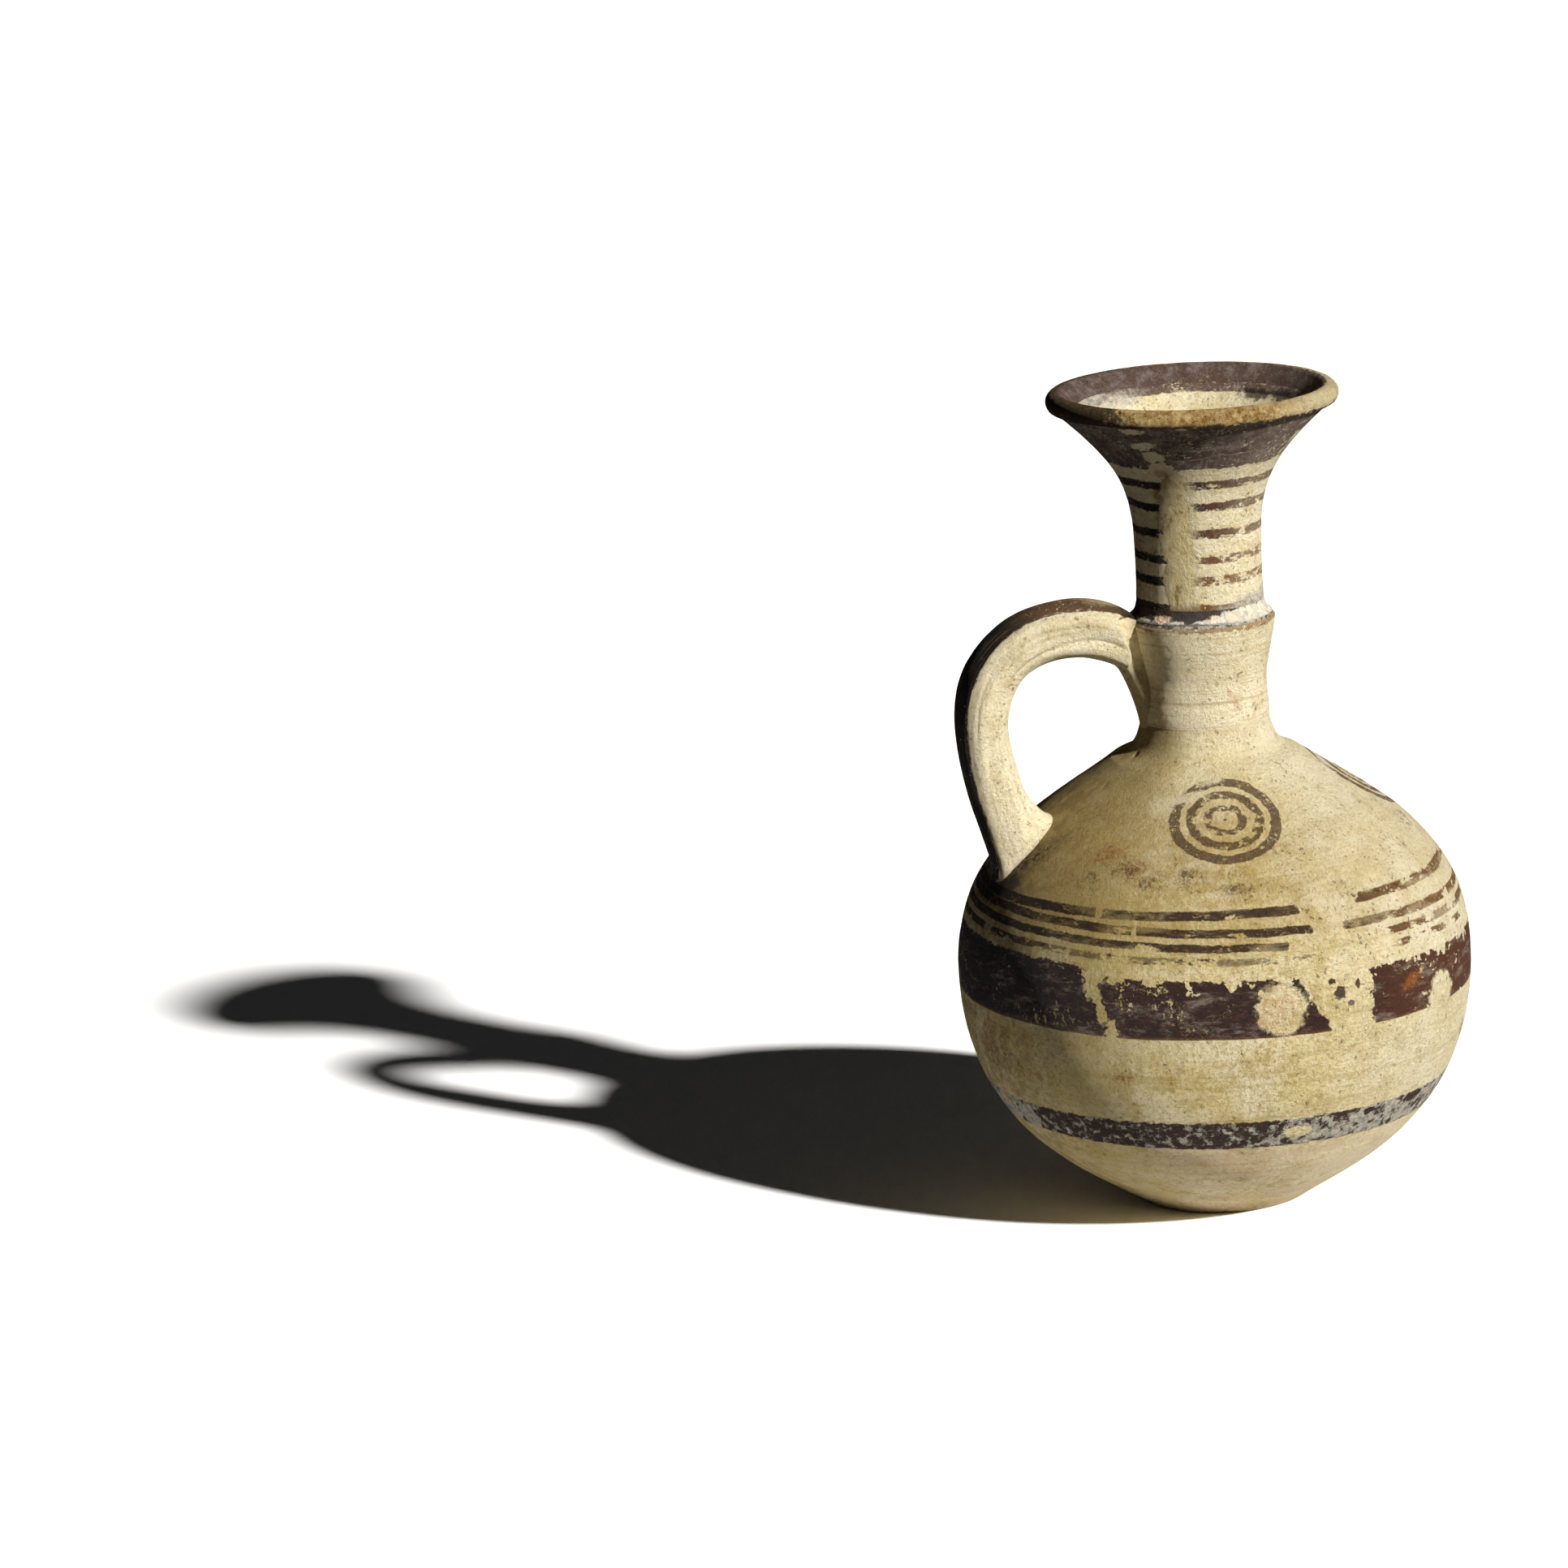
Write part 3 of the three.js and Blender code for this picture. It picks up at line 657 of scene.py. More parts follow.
# Stains in the slip, before the paint that lies on some of them, and painted shade round the foot of the
# handle
rust = clay.patches([
    (-48, 110, 4.6, 3.0, 30), (-37, 108, 3.2, 2.6), (-77, 52.7, 3.4, 9), (-71, 55, 2.4, 5),
    (-36.5, 52.4, 3.4, 1.8, 20), (-60, 49, 1.6, 1.4), (62, 49, 2.5, 1.8), (118, 55, 6, 4),
    (-150, 100, 7, 4),
], 0.9, 2.4, 21, 0.6)
rust = rust * clay.mottle(1.1, 18, detail=8, rough=0.85).ramp(0.42, 0.56)
clay.wash(rust * 0.75, RUST)
blots = clay.patches([
    (-21, 105.8, 4.5, 3.2), (-32, 105, 5, 3.0), (-41, 107.5, 5, 3.4), (-50, 104, 4, 3), (-9, 103, 5, 2),
    (70, 108, 5, 3), (150, 92, 7, 4),
], 0.7, 3, 22, 0.4)
blots = blots * (clay.mottle(0.9, 25, detail=9, rough=0.9) + clay.drift(0.4, 4, 28)).ramp(0.5, 0.56)
clay.wash(blots * 0.8, (84, 64, 36))
combed = clay.patches([(-76, 106, 9, 3.4, 52), (-80, 99, 6, 3.4, 40)], 0.8, 2.4, 26, 0.9)
clay.wash(combed * clay.mottle(1.0, 27, (1, 1, 0.4), 5).ramp(0.4, 0.6, 0.3, 1), (78, 62, 40))
# A dark smear round the foot of the handle: painted shade in the crease, with soil.
crease_shade_and_soil = clay.patches([(-88, 95, 8, 2.6), (-77, 99.5, 3.6, 3.2), (-99, 99, 3.5, 3.5)], 0.9, 2.4, 23, 0.5)
clay.wash(crease_shade_and_soil * 0.8, (58, 46, 34))

# Paint of the shoulder: compass-drawn circles and four thin rings
MOTIF_REACH = 20  # radius within which the circles are drawn
centres = [spot_frame(azimuth, MOTIF_HEIGHT)[0] * MM for azimuth in MOTIF_AZIMUTHS]
nearness = clay.strongest(0, *[clay.nearness(centre, [MOTIF_REACH * MM] * 3) for centre in centres])
from_centre = (1 - nearness) * MOTIF_REACH
from_centre = from_centre + clay.drift(1.8, 3.2, 31, detail=3) + clay.drift(0.9, 0.9, 32, detail=5)
circles = clay.strongest(0, *[
    from_centre.span(inner - 0.15, inner + 0.15, outer + 0.15, outer - 0.15) for inner, outer in MOTIF_RINGS
])
HAZE_MARKS = [
    (-36, 121, 3.2, 3.4, 30), (-24, 123, 6.5, 1.6, 20), (-12, 126.5, 4.0, 1.6, 30), (80, 124, 5, 2, 20),
]
hazed = clay.patches(HAZE_MARKS, 0.9, 1.5, 33, 0.4)
worn_middle = from_centre.ramp(12, 7, 0.28, 0.5)
circles = circles * clay.kept(worn_middle, 2.2, 34)
motif_paint = circles * (1 - hazed * 0.8) * 0.85
clay.lay_paint(motif_paint, (78, 54, 36), (148, 104, 58), 0.05, 0.4)
clay.wash(hazed * 0.3, SLIP_WHITE)

turn_left = clay.azimuth.ramp(-70, -35, 1.0, 0.0) + clay.azimuth.ramp(100, 150)
turn_right = clay.azimuth.span(5, 45, 140, 95)
# The paint's own brown-black, painted blacker toward the shaded left and browner toward the lit right.
band_paint_lit_and_shaded = clay.cover(turn_left, UMBER, SOOT)
band_paint_lit_and_shaded = clay.cover(turn_right * 0.8, band_paint_lit_and_shaded, (100, 60, 36))
line_paint_lit_and_shaded = clay.cover(turn_left, (62, 43, 32), SOOT)
line_paint_lit_and_shaded = clay.cover(turn_right, line_paint_lit_and_shaded, (118, 82, 42))
lines = 0
for count, (top, tall, lean, left_end, right_start, wear) in enumerate(SHOULDER_RINGS):
    ring = clay.ring(top - tall, top, lean, 0.4, 41 + 2 * count)
    ring = ring * (1 - clay.between(left_end, right_start, 0.5, 3.5, 51 + count))
    ring = ring * clay.kept(wear + turn_right * 0.06 - turn_left * 0.12, 3.6, 55 + count, (0.4, 0.4, 1))
    lines = clay.strongest(lines, ring)
lines = lines * (1 - clay.patches([
    (-44, 97, 0.9, 2), (-34, 92.5, 0.8, 2), (-31, 88.5, 3.6, 1.6),
], 0.8, 1.2, 61))
thinned = clay.mottle(7, 63, (0.4, 0.4, 1.5), 6).ramp(0.58, 0.46, 0.62, 0.97)
thinned = clay.strongest(thinned, turn_left * 0.95)
clay.lay_paint(lines * thinned, line_paint_lit_and_shaded, GOLDEN, 0.07, 0.39)

# Belly band: crisp below, flaked above, with a channel, a bare oval and a gap in it
upper_level = clay.z + clay.rightward * 0.03 - clay.leftward(-43, -48, 0, 2.3)
flaked = clay.mottle(5.5, 71).ramp(0.5, 0.68) * clay.leftward(-40, -48, 4.5, 0.8)
upper_edge = upper_level + flaked + clay.drift(2.2, 1.6, 72)
lower_level = clay.z + clay.rightward * 0.02 + clay.drift(0.8, 12, 73, detail=1)
belly = lower_level.ramp(63.7, 64.05) * upper_edge.ramp(80.3, 79.8)
slanted = clay.azimuth + clay.z * 0.484 - 0.484 * 78.8 + clay.drift(5, 2.4, 74)
gap = slanted.ramp(2.8, 3.6) * (clay.azimuth + clay.drift(7, 2.6, 75)).ramp(21.5, 20.8)
bare = clay.patches(BELLY_BARE, 0.4, 2.4, 77)
belly = belly * (1 - gap) * (1 - clay.patches(BELLY_CHANNEL, 1.3, 2.2, 76)) * (1 - bare)
belly = clay.strongest(belly, clay.patches(BELLY_CRUMBS, 0.9, 1.1, 78) * 0.95)
crumble = clay.mottle(16, 79, detail=1).ramp(0.5, 0.62) * 0.16
belly = belly * clay.kept(crumble + turn_right * 0.05 + 0.13, 2.4, 80, (0.55, 0.55, 1))
scratches = clay.patches([
    (-28, 77.5, 3.4, 4.5, 28), (-24, 71, 3, 5, 34), (-18, 66, 1.3, 1.0), (-35, 74, 3, 3.5),
    (-60, 67, 8, 2.5, 10), (-52, 69, 4, 3), (31, 77.5, 4, 1.6, 12), (36, 74, 4, 1.2, 8),
], 1.2, 2.5, 81, 0.4)
scratches = scratches * clay.mottle(1.5, 89, (1, 1, 0.7), 8, 0.75).ramp(0.55, 0.59)
film = clay.mottle(4, 82, (0.35, 0.35, 1), 9, 0.8).ramp(0.5, 0.64)
clay.lay_paint(belly, band_paint_lit_and_shaded, (112, 66, 44), 0.1)
clay.wash(belly * film * 0.6, HAZE)
clay.wash(scratches * belly * 0.85, SLIP_CREAM)
scorched = clay.patches([(-1.5, 71.3, 5.5, 6.2)], 0.6, 2.0, 78, 0.3)
scorched = scorched * clay.mottle(1.3, 91, detail=8, rough=0.8).ramp(0.46, 0.56)
clay.wash(scorched * (1 - belly) * 0.45, (196, 140, 96))
golden = clay.patches([(33, 72, 4, 1.6, 20)], 1.0, 1.6, 92, 0.6)
clay.wash(golden * belly * 0.55, (176, 104, 40))
reddened = lower_level.ramp(64.9, 64.3) * belly
clay.wash(reddened * 0.35, (138, 88, 52))

# Lower band: brown paint under a crust of lime, whiter to the right
lower = (clay.z + clay.rightward * 0.022 + clay.drift(1.4, 2.4, 83)).ramp(29.5, 29.9)
lower = lower * (clay.z + clay.rightward * 0.015 + clay.drift(2.6, 2.4, 84)).ramp(38.7, 38.2)
lower = lower * (1 - clay.patches([(4.5, 33.5, 4.2, 2.3), (-81, 37, 4, 1.6), (104, 35, 4, 3)], 0.6, 1.8, 85))
lower_kept = lower * clay.kept(0.16, 2.2, 86)
clay.lay_paint(lower_kept, (60, 44, 36), (112, 78, 54), 0.06)
whiter = clay.leftward(-62, -72, 0, 0.12) + clay.leftward(10, -8, 0.1, 0)
whiter = whiter - clay.patches([
    (-4, 37.6, 3.2, 1.0), (16, 37.6, 3.6, 1.2), (40, 36, 3.5, 1.8), (24, 36, 2, 1),
], 0.7, 1.5, 87, 0.3) * 0.3
crust = (clay.mottle(2.8, 88, detail=6, rough=0.72) + whiter).ramp(0.5, 0.6)
crust_tone, crust_rise = clay.lime(90)
clay.wash(crust * lower * 0.9, crust_tone)
clay.height += crust * lower * crust_rise

clay.height *= 1.2
body_slip = clay.finish(belly.ramp(0, 1, 0.88, 0.68))

inner_bowl = bowl_skin - BODY_WALL * bowl_lay
inner_bowl = inner_bowl[(inner_bowl[:, 1] > FLOOR_THICKNESS) & (inner_bowl[:, 1] < seam_height)]
BODY_RELIEF = relief(0.9, 0.1, 0.1, 0.4, 0.2)
bowl_runs = [
    (line((0, BASE_HOLLOW), (BASE_RADIUS - FOOT_RING_WIDTH, 0), (BASE_RADIUS - 0.6, 0)), None),
    (bowl_skin[1:], bowl_lay[1:]),
    (line((belly_radius - BODY_WALL, seam_height), inner_bowl[-1]), None),
    (spaced(inner_bowl[::-1], HIDDEN_STEP)[1:], None),
    (line((inner_bowl[0][0] - 1, FLOOR_THICKNESS), (0, FLOOR_THICKNESS)), None),
]
thrown("body_bowl", bowl_runs, BODY_SIDES, BODY_RELIEF, body_slip, ring=False)

# Shoulder
# The upper half of the body, drawn in to a flat ring on which the neck stands.

inner_dome = dome_skin - BODY_WALL * dome_lay
inner_dome = inner_dome[inner_dome[:, 1] > seam_height]
rim_underside = inner_dome[-1][1]
dome_runs = [
    (dome_skin, dome_lay),
    (line((DOME_TOP_RADIUS - 0.7, neck_seat), (NECK_BORE_RADIUS, neck_seat)), None),
    (line((NECK_BORE_RADIUS, rim_underside), inner_dome[-1])[:-1], None),
    (spaced(inner_dome[::-1], HIDDEN_STEP), None),
]
thrown("shoulder_dome", dome_runs, BODY_SIDES, BODY_RELIEF, body_slip)

# Root coil
# A roll of clay smoothed into a tight fillet where the neck meets the shoulder.

COIL_INNER_RADIUS = 17
coil_runs = [
    (coil_skin, coil_lay),
    (line((COIL_INNER_RADIUS, coil_top), (COIL_INNER_RADIUS, neck_seat)), None),
]
NECK_SIDES = 400
thrown("neck_root_coil", coil_runs, NECK_SIDES, BODY_RELIEF, body_slip)

# Lower neck
# A waisted cylinder whose flared top is the ridge of the neck and the socket of the trumpet.

SOCKET_RADIUS = 18.12
SOCKET_DEPTH = 6
neck_runs = [
    (neck_skin, neck_lay),
    (line((SOCKET_RADIUS, ridge_top), (SOCKET_RADIUS, ridge_top - SOCKET_DEPTH)), None),
    (line((NECK_BORE_RADIUS, ridge_top - SOCKET_DEPTH), (NECK_BORE_RADIUS, neck_seat)), None),
    (line((COIL_INNER_RADIUS - 0.3, neck_seat), (COIL_INNER_RADIUS - 0.3, coil_top)), None),
]
NECK_RELIEF = relief(0.6, 0.22, 0.1, 0.4, 0.05)
neck = Finish("cream slip of the neck")
neck.slip((250, 238, 206), SLIP_PALE, (214, 190, 132), 1.3)
neck.wash(0.35, SLIP_PALE)
wheel = neck.mottle(1.0, 15, (0.02, 0.02, 1), 3)
neck.wash(wheel.ramp(0.54, 0.7) * 0.45, SLIP_TAN)
neck.height += wheel * 0.16
stains = neck.patches([
    (8, 148, 0.6, 1.8, 20), (14, 145, 1.0, 2.2, 10), (-4, 151, 0.5, 0.8), (60, 150, 1.5, 2),
    (170, 146, 2, 3),
], 0.9, 0.9, 92, 0.5)
neck.wash(stains * 0.5, (206, 152, 112))
neck.wash(neck.patches([(-22.5, 143.4, 0.75, 0.55)], 0.2, 1, 93, 0.2), SLIP_WHITE)
edge = neck.ring(166.0, 167.6, 0, 0.9, 94, 0.3) * neck.kept(0.3, 1.4, 95)
neck.wash(edge * 0.75, (138, 98, 48))
ledge = (neck.z + neck.drift(1.6, 1.8, 96)).ramp(167.0, 167.4)
ledge_left = neck.azimuth.span(-20, -50, -150, -120)
tone, rise = neck.lime(97)
tone = neck.cover((neck.mottle(1.9, 98) + ledge_left * 0.12).ramp(0.5, 0.58) * 0.85, tone, (52, 42, 36))
neck.wash(ledge, tone)
neck.height += ledge * rise
neck_slip = neck.finish(0.9)
thrown("lower_neck", neck_runs, NECK_SIDES, NECK_RELIEF, neck_slip)

# Slip bead in the corner above the ridge
# Slip squeezed out as the trumpet was set in its socket, now crusted with pale lime.

BEAD_HEIGHT = 3.7
BEAD_FOOT_RADIUS = 19.9
BEAD_TOP_RADIUS = 17.8
BEAD_SHARES = [[0.5, 0.15], [0.92, 0.5]]
bead_top = (BEAD_TOP_RADIUS, ridge_top + BEAD_HEIGHT)
bead_skin = bend((BEAD_FOOT_RADIUS, ridge_top - 0.1), bead_top, BEAD_SHARES, 0.25)
bead_runs = [
    (bead_skin, outward(bead_skin)),
    (line((SOCKET_RADIUS - 0.6, ridge_top + BEAD_HEIGHT), (SOCKET_RADIUS - 0.6, ridge_top - 0.3)), None),
]
BEAD_RELIEF = relief(0.6, 0, 0.5, 0, -0.05)
bead = Finish("lime crust and paint of the bead")
bead.colour, bead.height = bead.lime(101)
bead.wash(bead.mottle(3.5, 104).ramp(0.45, 0.6) * 0.6, (196, 180, 156))
limed = bead.azimuth.span(-25, 25, 170, 120)
painted = (bead.z + bead.drift(4, 2.2, 105) - limed * 3).ramp(168.5, 169.1)
painted = painted * bead.kept(limed * 0.4 + 0.14, 1.8, 106)
bead.wash(painted * 0.95, (46, 34, 30))
edge = (bead.z + bead.drift(1.2, 1.5, 107)).ramp(168.6, 168.2)
bead.wash(edge * limed.ramp(1, 0, 0.15, 0.8), (70, 58, 50))
crumb = bead.patches([
    (-51, 168.6, 1.9, 1.2), (-46, 168.2, 1.6, 0.8), (-57, 168.4, 1.0, 0.8),
], 1.7, 0.9, 108, 0.2)
bead.wash(crumb, (232, 202, 170))
bead.height += crumb * bead.mottle(0.9, 109) * 1.2
bead_lime = bead.finish(0.95)
thrown("ridge_slip_bead", bead_runs, NECK_SIDES, BEAD_RELIEF, bead_lime)

# Trumpet neck
# A slim tube that opens into the funnel of the mouth, banded outside and painted inside.

trumpet_lay = outward(trumpet_skin)
walls = np.linspace(TRUMPET_FOOT_RADIUS - NECK_BORE_RADIUS, TRUMPET_RIM_WALL, len(trumpet_skin))
bore = trumpet_skin - walls[:, None] * trumpet_lay
bore_end = (np.interp(lip_seat, bore[:, 1], bore[:, 0]), lip_seat)
bore = np.vstack([bore[bore[:, 1] < lip_seat - 0.2], bore_end])
bore_lay = -outward(bore)
trumpet_runs = [
    (line((TRUMPET_FOOT_RADIUS, ridge_top - SOCKET_DEPTH), (TRUMPET_FOOT_RADIUS, ridge_top - 0.5)), None),
    (trumpet_skin, trumpet_lay),
    (line((lip_seat_radius - 1, lip_seat), (bore[-1][0] + 0.4, lip_seat), step=1), None),
    (bore[::-1], bore_lay[::-1]),
    (line((NECK_BORE_RADIUS, ridge_top - 0.5), (NECK_BORE_RADIUS, ridge_top - SOCKET_DEPTH)), None),
]
TRUMPET_SIDES = 420
TRUMPET_RELIEF = relief(0.5, 0.14, 0.12, 0.3, 0.0)
# Painted rings of the neck: low and high edges, and wear
NECK_RINGS = [
    (206.4, 208.9, 0.32), (199.8, 202.2, 0.36), (192.0, 194.4, 0.38), (184.9, 187.3, 0.48),
    (178.7, 181.3, 0.46),
]
FOOT_BAND = (167.0, 173.4)
FUNNEL_FOOT = 212.8
THROAT_RADIUS = 30  # within which the inside of the mouth is left in plain slip
SCAR_MIDDLE = 190  # height at which the rough strip down the neck is broadest

horn = Finish("painted slip of the trumpet")
horn.slip((252, 240, 208), SLIP_PALE, (222, 200, 146))
inside = horn.attribute("inward").ramp(-0.1, 0.1)
level_radius = horn.maths("SQRT", horn.x * horn.x + horn.y * horn.y)
left = horn.azimuth.span(-38, -48, -175, -150)
right = horn.azimuth.span(-5, 35, 150, 110)
off_middle = horn.maths("POWER", (horn.z - SCAR_MIDDLE) * 0.1, 2)
scar_turn = horn.azimuth + horn.drift(34, 5, 111, detail=8, rough=0.7)
scar = (scar_turn - off_middle * 2.3).ramp(-49.5, -47.5) * (scar_turn + off_middle * 0.8).ramp(-10, -26)
scar = scar * horn.z.ramp(171, 174.5) * horn.z.ramp(214, 209)
rings = horn.ring(*FOOT_BAND, 0, 0.8, 112) * horn.kept(right * 0.28 + 0.24 - left * 0.2, 2.0, 113)
for count, (low, high, wear) in enumerate(NECK_RINGS):
    ring = horn.ring(low, high, 0, 0.75, 114 + 3 * count, 0.2)
    ring = ring * horn.kept(wear + right * 0.04 - left * 0.3, 1.8, 115 + 3 * count, (0.5, 0.5, 1))
    rings = horn.strongest(rings, ring)
funnel = (horn.z + horn.drift(3, 2.5, 131)).ramp(FUNNEL_FOOT - 0.2, FUNNEL_FOOT + 0.2)
flakes = horn.patches([
    (-42, 225.5, 4.0, 1.4), (-41, 220.5, 4.0, 1.8, 15), (-39, 217, 3.4, 2.4), (-36, 213.5, 3.4, 2.2),
    (-20, 226.5, 1.6, 0.5), (53, 219, 2.4, 2.4), (64, 213.5, 3, 2.6), (100, 222, 4, 2),
    (160, 217, 3, 3),
], 0.9, 1.5, 132)
funnel_wear = horn.mottle(9, 147, detail=2) * 0.4 + 0.04 + right * 0.12
funnel = funnel * (1 - flakes) * horn.kept(funnel_wear, 1.7, 133)
outer_paint = horn.strongest(rings, funnel) * (1 - scar * 0.94) * (1 - inside)
throat = (level_radius + horn.drift(1.5, 3, 134)).ramp(THROAT_RADIUS - 0.25, THROAT_RADIUS + 0.25)
inner_paint = throat * inside * horn.kept(0.24, 1.3, 135)
# Tones of the paint: its own dark brown, browner on the lower rings and inside, painted blacker on the
# shaded left and browner and paler toward the lit right.
paint_tone_lit_and_shaded = horn.cover(left, UMBER, SOOT)
paint_tone_lit_and_shaded = horn.cover(horn.azimuth.ramp(-20, 0) * 0.7, paint_tone_lit_and_shaded, (106, 74, 54))
paint_tone_lit_and_shaded = horn.cover(horn.z.ramp(194, 180) * (1 - left) * 0.7, paint_tone_lit_and_shaded, (142, 100, 58))
mauve = horn.z.ramp(211, 215)
paint_tone_lit_and_shaded = horn.cover(mauve, paint_tone_lit_and_shaded, horn.cover(right, (96, 77, 72), (132, 112, 104)))
paint_tone_lit_and_shaded = horn.cover(inside, paint_tone_lit_and_shaded, (108, 86, 74))
paint = horn.strongest(outer_paint, inner_paint)
thin_tone = horn.cover(mauve, (146, 104, 68), (100, 80, 70))
paint = paint * (1 - right * (1 - mauve) * 0.2)
horn.lay_paint(paint, paint_tone_lit_and_shaded, thin_tone, 0.12, 0.4)
specks = (horn.mottle(1.5, 149, (1, 1, 1), 6, 0.7) + horn.drift(0.3, 9, 150)).ramp(0.61, 0.64)
horn.wash(specks * paint * mauve * 0.8, (214, 196, 156))
fog = horn.mottle(5, 136, detail=9, rough=0.8).ramp(0.46, 0.62)
horn.wash(fog * paint * mauve.ramp(0, 1, 0.12, 0.7), (168, 154, 142))
scratched = horn.patches([
    (-12, 219, 6, 0.2, 4), (-16, 216, 5, 0.15, 6), (-5, 223.5, 4, 0.15, -3), (10, 217, 5, 0.2, 3),
    (-28, 223, 3, 0.15),
], 0.5, 1.5, 137, 0.3)
horn.wash(scratched * outer_paint * 0.6, (190, 176, 150))
golden = horn.patches([(-38, 211.5, 2.2, 1.4), (-44, 205, 3, 1.6), (-30, 208, 2, 1)], 0.9, 1.5, 138, 0.5)
horn.wash(golden * 0.6, (166, 116, 48))
crags = horn.mottle(2.6, 139, (1, 1, 0.6), 9, 0.75)
scar_tone = horn.cover(crags.ramp(0.36, 0.48), (156, 122, 64), (230, 208, 150))
scar_tone = horn.cover(crags.ramp(0.54, 0.62), scar_tone, (248, 234, 196))
horn.wash(scar * 0.9, scar_tone)
horn.height += scar * (crags * 3.4 + 0.3)
paled = horn.patches([(-108, 226, 14, 6, 0, 34), (-95, 228, 10, 3, 0, 36)], 0.6, 2.5, 148, 0.8)
horn.wash(paled * inside * 0.6, (176, 154, 124))
white = horn.patches([
    (20, 170.5, 7, 2.4), (38, 172, 6, 3.0), (56, 173, 6, 2.4), (-130, 226, 9, 2.8, 0, 32.5),
    (-150, 223.5, 8, 2.6, 0, 31),
], 0.9, 2.0, 141, 0.5)
tone, rise = horn.lime(142)
horn.wash(white * 0.85, tone)
horn.height += white * rise
black = horn.patches([(108, 224, 6, 2.2, 0, 31), (128, 223.5, 5, 2, 0, 30.5)], 0.9, 1.6, 146, 0.4)
horn.wash(black * 0.85, SOOT)
horn_slip = horn.finish(paint.ramp(0, 1, 0.9, 0.74))
thrown("trumpet_neck", trumpet_runs, TRUMPET_SIDES, TRUMPET_RELIEF, horn_slip)

# Rolled lip
# The edge of the mouth, rolled outwards into a thick bead with a crease under it.

LIP_ROLL_RADIUS = 3
LIP_INNER_ANGLE = 128
roll_centre = np.array([LIP_RADIUS - LIP_ROLL_RADIUS, lip_top - LIP_ROLL_RADIUS])
seat_angle = np.degrees(np.arcsin((lip_seat - roll_centre[1]) / LIP_ROLL_RADIUS))
angles = np.radians(np.linspace(seat_angle, LIP_INNER_ANGLE, 24))
roll_lay = np.stack([np.cos(angles), np.sin(angles)], axis=1)
roll = roll_centre + (LIP_ROLL_RADIUS - 0.15) * roll_lay
inner_edge = line(roll[-1], (bore[-1][0], lip_seat), step=0.5)[1:]
inner_lay = -outward(inner_edge[::-1])[::-1]
lip_runs = [
    (roll, roll_lay),
    (inner_edge, inner_lay),
    (line((bore[-1][0] + 1, lip_seat), roll[0] - (1, 0), step=1), None),
]
LIP_SIDES = 480
LIP_RELIEF = TRUMPET_RELIEF
rim = Finish("ochre slip of the lip")
rim.slip((236, 208, 146), (214, 178, 112), (170, 130, 70))
blotch = rim.mottle(2.6, 151, detail=8, rough=0.76).ramp(0.46, 0.6)
rim.wash(blotch * 0.85, (148, 106, 42))
# Painted light on the lit right of the lip; on its left, soot with painted shade.
painted_light_right = rim.azimuth.span(10, 45, 120, 90)
rim.wash(painted_light_right * 0.65, (246, 232, 188))
shaded_left_of_lip = rim.azimuth.span(-28, -66, -178, -150)
soot_and_shade = (rim.mottle(2.6, 152, detail=7, rough=0.72) + shaded_left_of_lip * 0.34).ramp(0.6, 0.7)
rim.wash(soot_and_shade * 0.88, (44, 36, 20))
pits = rim.mottle(0.9, 158, detail=4).ramp(0.66, 0.7)
rim.wash(pits * 0.9, (38, 28, 18))
rim.wash(rim.mottle(1.5, 159, detail=5).ramp(0.66, 0.72) * 0.8, (250, 236, 200))
rim.height -= pits * 0.35
inside = (rim.attribute("inward") + rim.drift(0.7, 2.5, 153)).ramp(0.1, 0.3) * rim.kept(0.2, 1.5, 154)
outside = rim.attribute("inward").ramp(0.1, -0.1)
under = outside * (rim.z + rim.drift(2.2, 3, 155)).ramp(228.2, 227.4) * rim.kept(0.36, 2.4, 156)
fog = rim.mottle(5, 136, detail=9, rough=0.8).ramp(0.46, 0.62)
inside_tone = rim.cover(fog * 0.6, (108, 86, 74), (168, 156, 150))
rim.lay_paint(inside, inside_tone, (100, 80, 70), 0.08, 0.4)
rim.lay_paint(under, (70, 52, 44), (120, 88, 60), 0.08)
rim.height *= 1.6
lip_slip = rim.finish(0.85)
thrown("rolled_lip", lip_runs, LIP_SIDES, LIP_RELIEF, lip_slip)

# Strap handle
# A strap pulled from a lump of clay, pressed on to the neck under the ridge and on to the shoulder,
# with a dark brush stroke down its outer face.

STRAP_THICKNESS = 14.4
STRAP_WIDTH = 17.5
STRAP_NECK_WIDTH = 19.5
STRAP_TAIL_WIDTH = 19
STRAP_WIDENING_SHARE = 0.35
STRAP_CORNER_POWER = 2.6
strap_root = (11, ridge_top - 15.2)
strap_crest = (38, ridge_top - 1.4)
strap_reach = (71.6 - STRAP_THICKNESS / 2, ridge_top - 26.5)
strap_tail = (54.6, seam_height + 29)
STRAP_RISE_SHARES = [[0.33, 0.52], [0.556, 1]]
STRAP_TURN_SHARES = [[0.62, 0], [1, 0.4]]
STRAP_FALL_SHARES = [[0, 0.36], [0.66, 0.68]]
strap_line = np.vstack([
    bend(strap_root, strap_crest, STRAP_RISE_SHARES, 0.25),
    bend(strap_crest, strap_reach, STRAP_TURN_SHARES, 0.25)[1:],
    bend(strap_reach, strap_tail, STRAP_FALL_SHARES, 0.25)[1:],
])
strap_line = spaced(strap_line, 0.25)
strap_length = np.linalg.norm(np.diff(strap_line, axis=0), axis=1).sum()
strap_runs = np.linspace(0, strap_length, len(strap_line))
strap_up = outward(strap_line) * -1


def eased(value, low, high):
    share = np.clip((value - low) / (high - low), 0, 1)
    return share * share * (3 - 2 * share)


